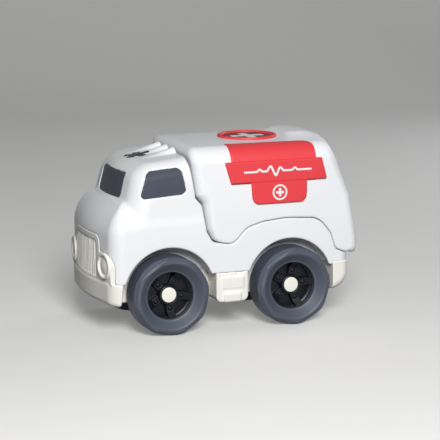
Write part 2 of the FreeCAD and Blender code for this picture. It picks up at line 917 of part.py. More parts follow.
def bumper_form(inset, foot_z, top_z):
    """Front bumper, filled, in the crowned plan outline of the nose and a little proud of it."""
    points, radii = nose_plan(body_half_width, front_bumper_back_y, bumper_proud)
    radii = [0, radii[1] + bumper_proud, radii[2], radii[3] + bumper_proud, 0]
    return plan_prism(points, radii, foot_z, top_z, inset=inset)


def rear_bumper_form(inset, foot_z, top_z):
    """Rear bumper, filled."""
    side = body_half_width + bumper_proud
    front_y = rear_bumper_front_y
    back_y = rear_bumper_back_y
    points = [(-side, front_y), (side, front_y), (side, back_y), (-side, back_y)]
    radii = [0, 0, lower_body_corner_radius, lower_body_corner_radius]
    plan = plan_prism(points, radii, foot_z, top_z, inset=inset)
    profile_points = [
        (rear_bumper_front_y - overrun, foot_z),
        (rear_bumper_foot_y, foot_z),
        (rear_bumper_waist_y, rear_bumper_waist_z),
        (rear_bumper_back_y, rear_parting_z),
        (rear_bumper_back_y, top_z + overrun),
        (rear_bumper_front_y - overrun, top_z + overrun),
    ]
    profile = side_prism(profile_points, [0, rear_bumper_radius, rear_bumper_radius, 0, 0, 0], -side, side)
    return plan.common(profile)


def softened(shape, z_level, radius):
    """Fillet on every edge that lies at one height."""
    edges = []
    for edge in shape.Edges:
        bounds = edge.BoundBox
        if abs(bounds.ZMin - z_level) < edge_match and abs(bounds.ZMax - z_level) < edge_match:
            edges.append(edge)
    return shape.makeFillet(radius, edges)


def make_chassis():
    """Cream chassis: tub with axle bearings, sills, front bumper with the face, and rear bumper."""
    reach = body_half_width
    tub_front_y = front_bumper_back_y
    tub_back_y = rear_bumper_front_y
    tub_x = chassis_half_width
    tub = box(-tub_x, tub_x, tub_front_y - wall, tub_back_y + wall, chassis_floor_z, parting_z)
    sill = box(-reach, reach, sill_front_y, sill_rear_y, sill_floor_z, parting_z)
    front_bumper = bumper_form(0, bumper_floor_z, front_parting_z)
    front_bumper = softened(front_bumper, bumper_floor_z, bumper_foot_radius)
    rear_bumper = rear_bumper_form(0, rear_bumper_floor_z, rear_parting_z)
    outside = joined([tub, sill, front_bumper, rear_bumper])
    floor_z = chassis_floor_z + wall
    top_z = rear_parting_z + overrun
    inner_x = chassis_half_width - wall
    spaces = [
        box(-inner_x, inner_x, tub_front_y - wall - overrun, tub_back_y + wall + overrun, floor_z, top_z),
        box(-reach + wall, reach - wall, sill_front_y + wall, sill_rear_y - wall, floor_z, top_z),
        bumper_form(wall + bumper_proud, bumper_floor_z + wall, top_z),
        rear_bumper_form(wall + bumper_proud, rear_bumper_floor_z + wall, top_z),
    ]
    tray = outside
    for space in spaces:
        tray = tray.cut(space)
    pieces = [tray, make_face()]
    for x, y, top_z in post_places():
        pieces.append(post(post_radius, x, y, chassis_floor_z + wall / 2, pad_top_z()))
    for sign in (-1, 1):
        y = sign * half_wheelbase
        bearing = cross_cylinder(bearing_radius, inner_x - bearing_length, inner_x, y, axle_z)
        pieces += both_sides(bearing.common(box(-reach, reach, nose_y, tail_y, chassis_floor_z, parting_z)))
    pieces += sill_details()
    chassis = joined(pieces)
    for sign in (-1, 1):
        y = sign * half_wheelbase
        chassis = chassis.cut(cross_cylinder(axle_radius + axle_clearance, -reach, reach, y, axle_z))
    for slot in sill_slots():
        chassis = chassis.cut(slot)
    for x, y, top_z in post_places():
        chassis = chassis.cut(post(screw_radius + screw_clearance, x, y, 0, pad_top_z() + overrun))
        chassis = chassis.cut(post(screw_head_radius + screw_clearance, x, y, 0, chassis_screw_seat()))
    return chassis


def sill_details():
    """Raised panel and step bar on each sill."""
    panel_top = parting_z - sill_panel_margin
    panel = box(
        body_half_width - wall, body_half_width + sill_panel_proud,
        sill_front_y + sill_panel_margin, sill_rear_y - sill_panel_margin,
        panel_top - sill_panel_height, panel_top,
    )
    middle_y = (sill_front_y + sill_rear_y) / 2
    step = box(
        body_half_width - wall, body_half_width + step_proud,
        middle_y - step_length / 2, middle_y + step_length / 2,
        sill_floor_z, sill_floor_z + step_height,
    )
    return both_sides(panel) + both_sides(step)


def sill_slots():
    """Two short dark slots at the parting line of each sill."""
    slots = []
    outer_x = body_half_width + overrun
    for start_y in (sill_front_y + sill_panel_margin, sill_rear_y - sill_panel_margin - sill_slot_length):
        slot = box(
            body_half_width - sill_slot_depth, outer_x,
            start_y, start_y + sill_slot_length,
            parting_z - sill_slot_height, parting_z + overrun,
        )
        slots += both_sides(slot)
    return slots


def make_face():
    """Cream front face that rises from the bumper: lamp rings on the corners and the ribbed grille."""
    plate = face_region(0).common(nose_layer(face_proud, face_thickness))
    reach = body_half_width + overrun
    foot_z = bumper_floor_z + bumper_foot_radius
    plate = plate.common(box(-reach, reach, nose_y - overrun, 0, foot_z, roof_z))
    field = [
        (-grille_half_width, grille_foot_z),
        (grille_half_width, grille_foot_z),
        (grille_half_width, grille_top_z),
        (-grille_half_width, grille_top_z),
    ]
    radii = [0, 0, grille_inner_radius, grille_inner_radius]
    front_y = nose_y - overrun
    back_y = nose_y + nose_corner_radius
    field_block = front_prism(field, radii, front_y, back_y)
    sunk = field_block.common(nose_layer(face_proud + overrun, grille_depth - face_proud))
    plate = plate.cut(sunk)
    ribs = []
    pitch = grille_half_width * 2 / grille_rib_count
    for i in range(grille_rib_count):
        rib_x = pitch * (i + 0.5) - grille_half_width - grille_rib_width / 2
        rib = box(rib_x, rib_x + grille_rib_width, front_y, back_y, grille_foot_z, grille_top_z)
        ribs.append(rib.common(field_block).common(nose_layer(0, grille_depth)))
    pieces = [plate] + ribs
    ring_height = face_proud + lamp_ring_height
    for side in (-1, 1):
        ring = lamp_block(side, lamp_radius, ring_height)
        ring = ring.cut(lamp_block(side, lamp_radius - lamp_ring, ring_height))
        bulge = lamp_block(side, lamp_radius - lamp_ring * 2, face_proud + lamp_glass_height)
        pieces += [ring, bulge, lamp_block(side, lamp_radius, face_proud), lamp_housing(side)]
    return joined(pieces)


def lamp_face_y():
    """Place of the nose's front at the middle of a lamp."""
    return nose_y + nose_corner_setback * lamp_x / body_half_width


def lamp_block(side, radius, height):
    """Round bar square to the nose where the lamp sits, out to its height."""
    lean = Vector(side * nose_corner_setback, -body_half_width, 0)
    lean.normalize()
    start = Vector(side * lamp_x, lamp_face_y(), lamp_z) - lean * face_thickness
    return Part.makeCylinder(radius, face_thickness + height, start, lean)


def lamp_housing(side):
    """Block below the lamp, square to the nose there, down to the bumper."""
    foot_z = bumper_floor_z + bumper_foot_radius
    block = Part.makeBox(lamp_radius * 2, face_thickness + face_proud, lamp_z - foot_z)
    block.translate(Vector(-lamp_radius, -face_proud, foot_z))
    lean = math.degrees(math.atan2(nose_corner_setback, body_half_width))
    block.rotate(Vector(0, 0, 0), Vector(0, 0, 1), side * lean)
    block.translate(Vector(side * lamp_x, lamp_face_y(), 0))
    return block


def tyre_profile():
    """Half section of the left front tyre as (radius, distance outward from its middle plane)."""
    half = tyre_width / 2
    return [
        (tyre_bore_radius, half - tyre_lip_depth - tyre_lip_width),
        (tyre_opening_radius, half - tyre_lip_depth - tyre_lip_width),
        (tyre_opening_radius, half - tyre_lip_depth),
        (tyre_sidewall_radius, half - edge_break),
        (tyre_sidewall_radius + edge_break, half),
        (tyre_shoulder_radius, half),
        (tyre_radius, half - tyre_tread_setback),
        (tyre_radius, tyre_tread_setback - half),
        (tyre_shoulder_radius, -half),
        (tyre_bore_radius + tyre_inner_setback, -half),
        (tyre_opening_radius, tyre_inner_setback - half),
        (tyre_opening_radius, tyre_inner_setback + tyre_lip_width - half),
        (tyre_bore_radius, tyre_inner_setback + tyre_lip_width - half),
    ]


def wheel_middle_x():
    """Middle plane of the left wheels."""
    return tyre_face_x - tyre_width / 2


def turned(profile, y):
    """Solid of revolution about a left axle line from a profile of (radius, outward distance)."""
    middle_x = wheel_middle_x()
    corners = [Vector(middle_x + out, y, axle_z + radius) for radius, out in profile]
    wire = Part.makePolygon(corners + [corners[0]])
    return Part.Face(wire).revolve(Vector(0, y, axle_z), Vector(1, 0, 0), full_turn)


def make_tyre(y):
    """Left tyre with a dished sidewall and round bites out of its outer shoulder."""
    tyre = turned(tyre_profile(), y)
    for i in range(tyre_scallop_count):
        angle = 2 * math.pi * (i + 0.5) / tyre_scallop_count
        reach = tyre_radius + tyre_scallop_radius - tyre_scallop_depth
        place = Vector(tyre_face_x, y + reach * math.cos(angle), axle_z + reach * math.sin(angle))
        tyre = tyre.cut(Part.makeSphere(tyre_scallop_radius, place))
    return tyre


def rim_spoke(y, root_x, back_x, tip_radius, angle):
    """One spoke, turned to its angle: level where its bolt sits, then rising outward to the barrel."""
    side_y = y - spoke_width / 2
    corners = [
        Vector(back_x, side_y, axle_z + hub_radius / 2),
        Vector(back_x, side_y, axle_z + tip_radius),
        Vector(root_x + spoke_tip_rise, side_y, axle_z + tip_radius),
        Vector(root_x, side_y, axle_z + spoke_bend_radius),
        Vector(root_x, side_y, axle_z + hub_radius / 2),
    ]
    wire = Part.makePolygon(corners + [corners[0]])
    spoke = Part.Face(wire).extrude(Vector(0, spoke_width, 0))
    spoke.rotate(Vector(0, y, axle_z), Vector(1, 0, 0), angle)
    return spoke


def rim_bolt(y, face_x, back_x, angle):
    """One round bolt head on the root of a spoke."""
    turn = math.radians(angle)
    bolt_y = y - bolt_circle_radius * math.sin(turn)
    bolt_z = axle_z + bolt_circle_radius * math.cos(turn)
    return cross_cylinder(bolt_radius, back_x, face_x + bolt_height, bolt_y, bolt_z)


def make_rim(y, spoke_turn):
    """Left rim: barrel with a closed disc, five spokes with a bolt on each, and the hub."""
    half = tyre_width / 2
    outer = half - tyre_lip_depth - tyre_lip_width
    inner = tyre_inner_setback + tyre_lip_width - half
    disc_face = half - rim_disc_depth
    disc_back = disc_face - rim_disc_thickness
    barrel_inner = tyre_bore_radius - rim_wall
    barrel_middle = tyre_bore_radius - rim_wall / 2
    hub_face = half - hub_face_depth
    hub_back = chassis_half_width + hub_end_gap - wheel_middle_x()
    barrel = turned([
        (tyre_bore_radius, outer),
        (tyre_bore_radius, inner),
        (barrel_inner, inner),
        (barrel_inner, outer),
    ], y)
    disc = turned([
        (0, disc_face),
        (barrel_middle, disc_face),
        (barrel_middle, disc_back),
        (0, disc_back),
    ], y)
    hub = turned([
        (0, hub_face),
        (hub_radius, hub_face),
        (hub_radius, hub_back),
        (0, hub_back),
    ], y)
    pieces = [barrel, disc, hub]
    spoke_face_x = wheel_middle_x() + disc_face + spoke_height
    spoke_back_x = wheel_middle_x() + disc_face - rim_disc_thickness / 2
    for i in range(spoke_count):
        angle = spoke_turn + full_turn * i / spoke_count
        pieces.append(rim_spoke(y, spoke_face_x, spoke_back_x, barrel_middle, angle))
        pieces.append(rim_bolt(y, spoke_face_x, spoke_back_x, angle))
    rim = joined(pieces)
    hub_face_x = wheel_middle_x() + hub_face
    rim = rim.cut(cross_cylinder(axle_radius, 0, hub_face_x + overrun, y, axle_z))
    rim = rim.cut(cross_cylinder(cap_radius, hub_face_x - cap_seat_depth, hub_face_x + overrun, y, axle_z))
    return rim


def make_hub_cap(y):
    """Left cream hub cap, pressed into the hub's face."""
    seat_x = tyre_face_x - hub_face_depth - cap_seat_depth
    face_x = seat_x + cap_height
    cap = cross_cylinder(cap_radius, seat_x, face_x, y, axle_z)
    face_edges = [edge for edge in cap.Edges if edge.BoundBox.XMin > face_x - edge_match]
    return cap.makeFillet(cap_crown, face_edges)


def make_axle(y):
    """Steel axle from hub to hub."""
    half_length = tyre_face_x - hub_face_depth - cap_seat_depth - axle_tip_gap
    return cross_cylinder(axle_radius, -half_length, half_length, y, axle_z)


def write(name, shape, middle_y):
    """Put a piece at its place along the length and save it."""
    placed = shape.copy()
    placed.translate(Vector(0, -middle_y, 0))
    placed.exportStep("parts/" + name + ".step")


def make_body_pieces():
    """Every piece of the body, by name."""
    glass = make_side_glass()
    sign = make_sign()
    chassis_screws = [screw(x, y, chassis_screw_seat()) for x, y, top_z in post_places()]
    deck_screws = [screw(x, y, deck_screw_seat(deck_z)) for x, y, deck_z in deck_places()]
    return {
        "cab_shell": make_cab_shell(),
        "rear_body": make_rear_body(),
        "chassis": make_chassis(),
        "windscreen": make_windscreen(),
        "side_window_left": glass,
        "side_window_right": mirrored(glass),
        "side_sign_left": sign,
        "side_sign_right": mirrored(sign),
        "roof_dish": make_dish(),
        "chassis_screws": Part.makeCompound(chassis_screws),
        "deck_screws": Part.makeCompound(deck_screws),
    }


def make_wheel_pieces():
    """Both axles with their wheels, by name."""
    pieces = {}
    axles = (
        ("front", -half_wheelbase, front_spoke_turn),
        ("rear", half_wheelbase, rear_spoke_turn),
    )
    for place, y, spoke_turn in axles:
        pieces[place + "_axle"] = make_axle(y)
        wheel = {"tyre": make_tyre(y), "rim": make_rim(y, spoke_turn), "hub_cap": make_hub_cap(y)}
        for kind, shape in wheel.items():
            pieces[place + "_left_" + kind] = shape
            pieces[place + "_right_" + kind] = mirrored(shape)
    return pieces


def main():
    """Make every piece and save it from the middle of the whole length."""
    pieces = make_body_pieces()
    pieces.update(make_wheel_pieces())
    middle_y = (nose_front_y(bumper_proud) + tail_y) / 2
    print("middle of the length, from the middle of the wheelbase:", middle_y)
    for name, shape in pieces.items():
        write(name, shape, middle_y)


main()
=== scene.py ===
import json
import math

import bpy
import numpy as np
from mathutils import Matrix


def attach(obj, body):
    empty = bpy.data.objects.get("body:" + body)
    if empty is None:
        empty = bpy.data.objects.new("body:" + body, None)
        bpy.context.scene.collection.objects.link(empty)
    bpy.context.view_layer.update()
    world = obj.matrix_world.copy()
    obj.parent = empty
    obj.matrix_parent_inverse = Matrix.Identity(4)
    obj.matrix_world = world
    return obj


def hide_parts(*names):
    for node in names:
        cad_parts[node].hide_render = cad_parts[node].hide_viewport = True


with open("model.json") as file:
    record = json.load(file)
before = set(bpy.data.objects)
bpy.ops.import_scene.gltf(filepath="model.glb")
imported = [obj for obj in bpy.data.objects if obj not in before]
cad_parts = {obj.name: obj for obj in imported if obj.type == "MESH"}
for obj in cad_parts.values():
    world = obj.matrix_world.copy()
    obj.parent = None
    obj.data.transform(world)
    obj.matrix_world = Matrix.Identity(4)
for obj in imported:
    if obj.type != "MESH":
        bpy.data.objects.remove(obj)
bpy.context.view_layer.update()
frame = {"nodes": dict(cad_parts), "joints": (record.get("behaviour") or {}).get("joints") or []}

# Toy ambulance in metres. +X is the vehicle's left, -Y is forward, the wheels stand on Z = 0. The forms
# below are written from the middle of the wheelbase, and each piece is moved to the frame at the end.
axle_places = {joint["child"]: joint["pos_m"] for joint in frame["joints"]}
middle_y = (axle_places["front_wheels"][1] + axle_places["rear_wheels"][1]) / 2
half_wheelbase = axle_places["rear_wheels"][1] - middle_y
axle_z = axle_places["front_wheels"][2]

# Cab and lower body
body_half_width = 0.048
nose_y = -0.0956
tail_y = 0.0984
nose_setback = 0.0074  # from the nose's tip back to its corners
nose_corner_radius = 0.009
nose_crown_radius = 0.150
hood_front_z = 0.0902
hood_foot_z = 0.0946
shoulder_z = 0.097
hood_edge_radius = 0.020
waist_z = 0.070
shoulder_half_width = 0.0468
side_ease = 0.0005  # reach of the soft edge where a side begins to lean
lower_back_y = 0.0908
lower_corner_radius = 0.007
screen_foot_y = -0.0792
screen_slope = 0.262  # run back for each unit of height
screen_setback = 0.0064
screen_corner_radius = 0.014
screen_crown_radius = 0.120
cab_roof_front_z = 0.1178
cab_roof_slope = 0.12
cab_roof_crown = 0.0014
cab_roof_half_width = 0.0442
cab_roof_radius = 0.011
house_foot_z = 0.078
house_fade = 0.012  # height over which the cab draws in below its foot
house_back_y = 0.050  # inside the rear body
hood_join_radius = 0.0025
door_blend = 0.002
door_blend_span = (0.034, 0.042)  # across, where the hood's fillet turns into the soft join of the doors
flute_spacing = 0.0152
flute_half_width = 0.0046
flute_front_y = -0.054
flute_rise = 0.0052
flute_join_radius = 0.0018
flute_lead = 0.006  # ahead of where a rib leaves the roof
flute_overrun = 0.005  # past the seam's front, under the rear body
arch_radius = 0.034
rear_arch_radius = 0.033
rear_arch_lead = 0.002
rear_arch_lift = 0.0016
arch_edge_radius = 0.001
well_inner_x = 0.0304
parting_z = 0.0416
front_parting_z = 0.0386
rear_parting_z = 0.0436
rear_parting_y = 0.0780
parting_edge_radius = 0.0004

# Seam and rear body
seam_gap = 0.0006
front_gap = 0.0017  # added to the seam's gap along its front
seam_edge_radius = 0.0005
rear_waist_z = 0.078
rear_roof_half_width = 0.0456
roof_z = 0.130
rear_roof_crown = 0.0012
rear_side_ease = 0.0012
rear_roof_radius = 0.0115
rear_corner_radius = 0.006
roof_back_radius = 0.004
roof_back_crown = 0.0085
back_crown_heights = (0.085, 0.125)  # where the crown begins and is full
back_edge_heights = (0.112, 0.124)  # where the corner's radius turns into the roof's
back_bend_radius = 0.012
hump_half_width = 0.031
hump_crest_half_width = 0.0155
hump_rise = 0.0058
hump_front_y = 0.0504
hump_crest_y = 0.0556
hump_back_y = 0.0715
hump_tail_y = 0.0915
hump_tail_z = 0.1275
hump_foot_z = 0.1226
hump_root = 0.004  # reach of the fairing down into the roof
hump_join_radius = 0.003
hump_edge_ease = 0.0010
hump_front_ease = 0.0030
hump_tail_ease = 0.0040
front_rim_radius = 0.0064
fender_rim_radius = 0.0012
tail_rim_radius = 0.0014
tail_corner_radius = 0.0048
front_rim_end = (-0.018, -0.006)  # along Y, where one rim turns into the next
tail_rim_start = (0.066, 0.078)
corner_rim_start = (0.0875, 0.0935)

# Windows and the cream face
window_pocket = 0.0015
window_edge_radius = 0.00035
pane_gap = 0.0001
pane_sink = 0.0008
pane_thickness = 0.0014
pane_edge_radius = 0.0003
screen_glass_half_width = 0.0244
screen_glass_taper = 0.0006
screen_glass_foot_z = 0.0958
screen_glass_head_z = 0.1134
glass_radius = 0.003
glass_foot_radius = 0.002
face_depth = 0.0035
face_thickness = 0.0032
face_grow = 0.00015  # gap between the face and its opening
face_proud = 0.0003
face_edge_radius = 0.0006
lamp_x = 0.0351
lamp_z = 0.0504
lamp_radius = 0.0094
lamp_ring = 0.0022  # width
lamp_ring_proud = 0.0019
lamp_ring_radius = 0.0010
lamp_glass_radius = 0.0064
lamp_glass_rise = 0.0013
lamp_glass_join = 0.0002
lamp_glass_share = 0.8  # steepness of the glass's distance where it joins the ring
lamp_foot_overlap = 0.0004
face_under_z = 0.02
lamp_shoulder_x = 0.0448
lamp_top_z = 0.0598
arch_x = 0.027
arch_top_z = 0.0712
arch_corner_radius = 0.0064
grille_half_width = 0.0226
grille_foot_z = 0.041
grille_top_z = 0.0668
grille_corner_radius = 0.0046
grille_foot_radius = 0.0006
grille_edge_radius = 0.0005
grille_depth = 0.0014
grille_rib_count = 15
grille_rib_half_width = 0.0008
grille_rib_radius = 0.0006

# Cream chassis
bumper_proud = 0.0008
bumper_floor_z = 0.0224
bumper_tip_floor_z = 0.0238
bumper_back_y = -0.0806
bumper_foot_back_y = -0.0824
bumper_foot_radius = 0.003
bumper_top_radius = 0.0008
bumper_back_radius = 0.0016
rear_bumper_front_y = 0.0780
rear_bumper_back_y = 0.0906
rear_bumper_floor_z = 0.0226
rear_bumper_radius = 0.013
rear_bumper_edge_radius = 0.0055
tub_floor_z = 0.022
tub_front_y = -0.0822
tub_back_y = 0.079
tub_edge_radius = 0.0006
axle_hole_radius = 0.0026
sill_front_y = -0.0118
sill_rear_y = 0.0122
sill_floor_z = 0.0203
sill_corner_radius = 0.004
sill_edge_radius = 0.0007
sill_panel_margin = 0.0032
sill_panel_height = 0.009
sill_panel_proud = 0.0007
sill_slot_length = 0.0064
sill_slot_height = 0.0012
sill_slot_depth = 0.0012
sill_slot_radius = 0.0003
step_half_length = 0.0065
step_height = 0.0062
step_proud = 0.0014
step_join_radius = 0.0004
screw_places = ((0.020, -0.0845), (0.018, 0.064))
screw_well_radius = 0.003
screw_well_top_z = 0.0239

# Red signs and dish
sign_thickness = 0.0012
banner_thickness = 0.0024
tab_thickness = 0.0018
sign_sink = 0.0006
sign_roof_front_x = 0.0324
sign_roof_back_x = 0.0350
far_sign_lower = 0.0080  # how much sooner the right sign ends on the roof
sign_roof_thickness = 0.0005
sign_thinning = (0.034, 0.044)  # across, from the roof's thickness to the side's
sign_panel_foot_z = 0.104
sign_back_y = 0.0648
sign_corner_radius = 0.009
sign_edge_radius = 0.0005
sign_join_radius = 0.0003
banner_corner_radius = 0.0008
tab_corner_radius = 0.0054
dish_y = 0.0304
dish_radius = 0.0216
dish_rim_width = 0.0026
dish_top_z = 0.1329
dish_floor_z = 0.1316
dish_seat_z = 0.1300
dish_rim_radius = 0.0011
dish_floor_radius = 0.0006

# Wheels, as distances from the axle and outward from the tyre's middle plane
tyre_half_width = 0.010
tyre_face_x = 0.0532
tyre_radius = 0.0282
opening_radius = 0.017
scoop_count = 8
scoop_radius = 0.0270
scoop_out = 0.0086  # place outward of a scoop's middle
scoop_inner_out = 0.004  # scoops are pressed in only outward of this
scoop_half_angle = math.radians(20.5)
scoop_reach = 0.0033
scoop_depth = 0.0010
front_scoop_turn = math.radians(10)
rear_scoop_turn = math.radians(16)
spoke_count = 5
front_spoke_turn = math.radians(27)
rear_spoke_turn = math.radians(13)
spoke_half_width = 0.0029
spoke_narrowing = 0.0003
spoke_narrow_reach = (0.012, 0.0165)
spoke_flank = (-0.00015, 0.00035)  # from a spoke's edge, where its flank begins and ends
spoke_root_out = -0.0008
spoke_rise = 0.0034
spoke_rise_from = 0.0122
spoke_rise_run = 0.0042  # along the spoke, for one rise
spoke_rise_limit = 1.2  # rises at most
rim_floor_out = -0.0040
rim_rings = ((0, 0.0050, 6), (0.0053, 0.0076, 14), (0.0079, 0.0168, 52))  # radii from, to, and their count
bolt_reach = 0.0102
bolt_radius = 0.0014
bolt_roundness = 0.8  # height of a bolt's dome over its radius
hub_radius = 0.0072
hub_out = 0.0014
hub_edge = 0.0003
groove_radius = 0.0064
groove_width = 0.00018
groove_depth = 0.0004
cap_radius = 0.0054
cap_face = 0.0022
cap_foot_out = 0.0002
cap_edge_radius = 0.0006
cap_crown = 0.00015

# Prints and a disc of painted shade, as (along, up) on the sides and (across, along) on the roof
banner_line = (
    (0.0088, 0), (0.0185, 0), (0.0205, 0.0018), (0.0228, 0), (0.0262, 0), (0.0292, 0.0042),
    (0.0330, -0.0042), (0.0362, 0.0030), (0.0388, 0), (0.0455, 0), (0.0475, 0.0018), (0.0498, 0),
    (0.0605, 0),
)
banner_line_z = 0.1122
banner_line_half_width = 0.00075
banner_line_bend = 0.0008
tab_middle = (0.0362, 0.0967)
tab_ring_radius = 0.0050
tab_ring_half_width = 0.00065
tab_plus = {"arms": 4, "reach": 0.0030, "half_width": 0.0009, "radius": 0.0003}
# Dark red disc of painted shade on the dish's floor, where the floor lies in shadow
dish_shade_radius = 0.0176
dish_plus = {"arms": 4, "reach": 0.0125, "half_width": 0.0030, "radius": 0.0008}
roof_star = {"arms": 5, "reach": 0.0090, "half_width": 0.0030, "radius": 0.0009}
roof_star_y = -0.0545
print_lift = 0.0001
print_depth = 0.00025
print_inner_radius = 0.0001
print_lay_steps = 8

# Fineness: grid cells, steps round a turn, spacing of places along a line, and small distances
cab_cell = 0.0009
rear_cell = 0.0009
chassis_cell = 0.0009
sign_cell = 0.0007
pane_cell = 0.0004
pane_low = (0.036, -0.070, 0.096)
pane_high = (body_half_width, -0.032, 0.120)
sign_low = (0.026, -0.0065, 0.087)
sign_high = (body_half_width + banner_thickness + 2 * sign_cell, 0.0745, roof_z + 0.004)
rear_low_z = 0.044
tyre_steps = 360
rim_steps = 480
cap_steps = 96
cap_rings = 10
cap_edge_steps = 9
dish_steps = 192
ring_steps = 120
# steps round the dish's disc of painted shade
dish_shade_steps = 96
tyre_spacing = 0.0006
dish_spacing = 0.0012
print_spacing = 0.0006
band_columns = 4
arc_error = 0.000004  # from an arc to its chords, at most
slope_step = 0.00004  # between readings that give a slope
weld_reach = 0.0000001  # places closer than this fall together
length_decimals = 7
closing_steps = 4
least_step = 0.05  # share of the way that a closing step keeps from both ends
steadying = 0.06  # pull of a vertex to the middle of its crossings
tiny = 1e-12  # keeps a length from being zero
mirror_x = np.array([-1, 1, 1])

# Finish of the mouldings: sizes of the noise, and the span of it that shows
drift_size = 0.03
drift_span = (0.35, 0.65)
speck_size = 0.0006
speck_span = (0.62, 0.72)
scuff_size = 0.006
scuff_span = (0.45, 0.7)
scuff_stretch = (1, 6, 1)
scuff_turn = (0.4, 0.7, 0.2)

# Camera, floor, backdrop and room
camera_across = math.radians(21.05)
camera_down = math.radians(10.25)
camera_roll = math.radians(-0.211)
camera_place = (1.26851, -0.48076, 0.31616)
camera_lens = 154.8
camera_sensor = 36
floor_reach = 3
floor_back = 1.2
floor_bend = 0.8
backdrop_height = 3.0
floor_columns = 13
floor_rows = 9
bend_steps = 17
paper_pale = (0.70, 0.70, 0.69)
paper_dark = (0.10, 0.11, 0.10)
paper_glow = 0.25
room_bluish = (0.80, 0.84, 0.90)
room_strength = 0.04
backdrop_grey = (0.42, 0.42, 0.42)
light_aim_z = 0.06  # height at which all lights aim


def rounded_meet(a, b, radius):
    """What lies in both forms, with the edge between them rounded to the radius."""
    corner = np.hypot(np.maximum(a + radius, 0), np.maximum(b + radius, 0))
    return np.minimum(-radius, np.maximum(a, b)) + corner


def rounded_join(a, b, radius):
    """What lies in either form, with the inner corner between them filled to the radius."""
    return -rounded_meet(-a, -b, radius)


def soft_meet(a, b, reach):
    """What lies in both forms where they meet at a flat angle: the greater distance, and more by a
    parabola where the two differ by less than the reach."""
    return np.maximum(a, b) + np.maximum(reach - np.abs(a - b), 0) ** 2 / (4 * reach)


def soft_join(a, b, reach):
    """What lies in either form where they run side by side, eased within the reach."""
    return -soft_meet(-a, -b, reach)


def ease(value, low, high):
    """0 below low, 1 above high, and a smooth climb between."""
    t = np.clip((value - low) / (high - low), 0, 1)
    return t * t * (3 - 2 * t)


def past_line(u, v, start, end):
    """Distance to the right of the line from start to end: the cross product over the line's length."""
    along_u, along_v = end[0] - start[0], end[1] - start[1]
    across = along_v * (u - start[0]) - along_u * (v - start[1])
    return across / math.hypot(along_u, along_v)


def rounded_outline(corners, radii):
    """Closed outline through the corners, each turned into an arc of its radius that touches both sides."""
    made = []
    count = len(corners)
    for i in range(count):
        corner = np.array(corners[i], float)
        if radii[i] == 0:
            made.append(corner)
            continue
        back = np.array(corners[i - 1], float) - corner
        ahead = np.array(corners[(i + 1) % count], float) - corner
        back /= np.linalg.norm(back)
        ahead /= np.linalg.norm(ahead)
        half = math.acos(np.clip(back @ ahead, -1, 1)) / 2
        middle = (back + ahead) / np.linalg.norm(back + ahead)
        centre = corner + middle * radii[i] / math.sin(half)
        start = corner + back * radii[i] / math.tan(half) - centre
        end = corner + ahead * radii[i] / math.tan(half) - centre
        sweep = math.atan2(start[0] * end[1] - start[1] * end[0], start @ end)
        steps = max(2, math.ceil(abs(sweep) / (2 * math.acos(1 - arc_error / radii[i]))))
        turn = sweep * np.linspace(0, 1, steps + 1)
        swung_u = start[0] * np.cos(turn) - start[1] * np.sin(turn)
        swung_v = start[0] * np.sin(turn) + start[1] * np.cos(turn)
        made.extend(centre + np.stack([swung_u, swung_v], 1))
    return np.array(made)


def outline_distance(outline, u, v):
    """Distance from a closed outline, negative inside: the nearest side gives the size, and the number of
    sides crossed on the way out gives the sign."""
    u, v = np.broadcast_arrays(u, v)
    nearest = np.full(u.shape, np.inf)
    inside = np.zeros(u.shape, bool)
    for start, end in zip(outline, np.roll(outline, -1, axis=0)):
        along_u, along_v = end - start
        length = along_u ** 2 + along_v ** 2
        if length == 0:
            continue
        from_u, from_v = u - start[0], v - start[1]
        t = np.clip((from_u * along_u + from_v * along_v) / length, 0, 1)
        nearest = np.minimum(nearest, (from_u - t * along_u) ** 2 + (from_v - t * along_v) ** 2)
        spans = (start[1] <= v) != (end[1] <= v)
        if along_v:
            inside ^= spans & (from_u < from_v * along_u / along_v)
    return np.where(inside, -1, 1) * np.sqrt(nearest)


def crowned_front(x, y, tip_y, setback, half_width, radius):
    """Distance ahead of a front that runs back to its corners in straight halves, with a middle that is an
    arc of the crown radius and touches both."""
    lean = math.atan2(setback, half_width)
    centre_y = tip_y + radius / math.cos(lean)
    straight = (tip_y - y) * math.cos(lean) + np.abs(x) * math.sin(lean)
    round_part = np.hypot(x, centre_y - y) - radius
    return np.where(np.abs(x) < (centre_y - y) * math.tan(lean), round_part, straight)


# Outlines seen from the side as (y, z), and of the windscreen, the face and the grille as (x, z). Where
# the course of one doesn't show, it runs well inside or above the toy.
seam_corners = [
    (-0.033, 0.1358), (-0.0269, 0.0958), (-0.0220, 0.0902), (-0.0189, 0.0714), (-0.014, 0.0634),
    (0.0016, 0.0612), (0.0116, 0.0722), (0.0244, 0.0758), (0.042, 0.0774), (0.067, 0.0757),
    (0.0764, 0.064), (0.0802, 0.0524), (0.0872, 0.0494), (0.1034, 0.0454),
    (0.1034, 0.150), (-0.033, 0.150),
]
seam_radii = [
    0, 0.0008, 0.004, 0.005, 0.007, 0.009, 0.014, 0.014, 0.060, 0.014, 0.010, 0.005, 0.0008, 0, 0, 0,
]
seam_outline = rounded_outline(seam_corners, seam_radii)
side_glass_corners = [
    (-0.0678, 0.0972), (-0.0608, 0.1162), (-0.0366, 0.1181), (-0.0334, 0.1016), (-0.0364, 0.0991),
]
side_glass_radii = [glass_radius, 0.0062, 0.0048, glass_foot_radius, glass_foot_radius]
side_glass_outline = rounded_outline(side_glass_corners, side_glass_radii)
screen_head_x = screen_glass_half_width - screen_glass_taper
screen_outline = rounded_outline(
    [
        (-screen_glass_half_width, screen_glass_foot_z), (screen_glass_half_width, screen_glass_foot_z),
        (screen_head_x, screen_glass_head_z), (-screen_head_x, screen_glass_head_z),
    ],
    [glass_radius] * 4,
)
face_half = [
    (lamp_shoulder_x, face_under_z), (lamp_shoulder_x, lamp_top_z),
    (arch_x, lamp_top_z), (arch_x, arch_top_z),
]
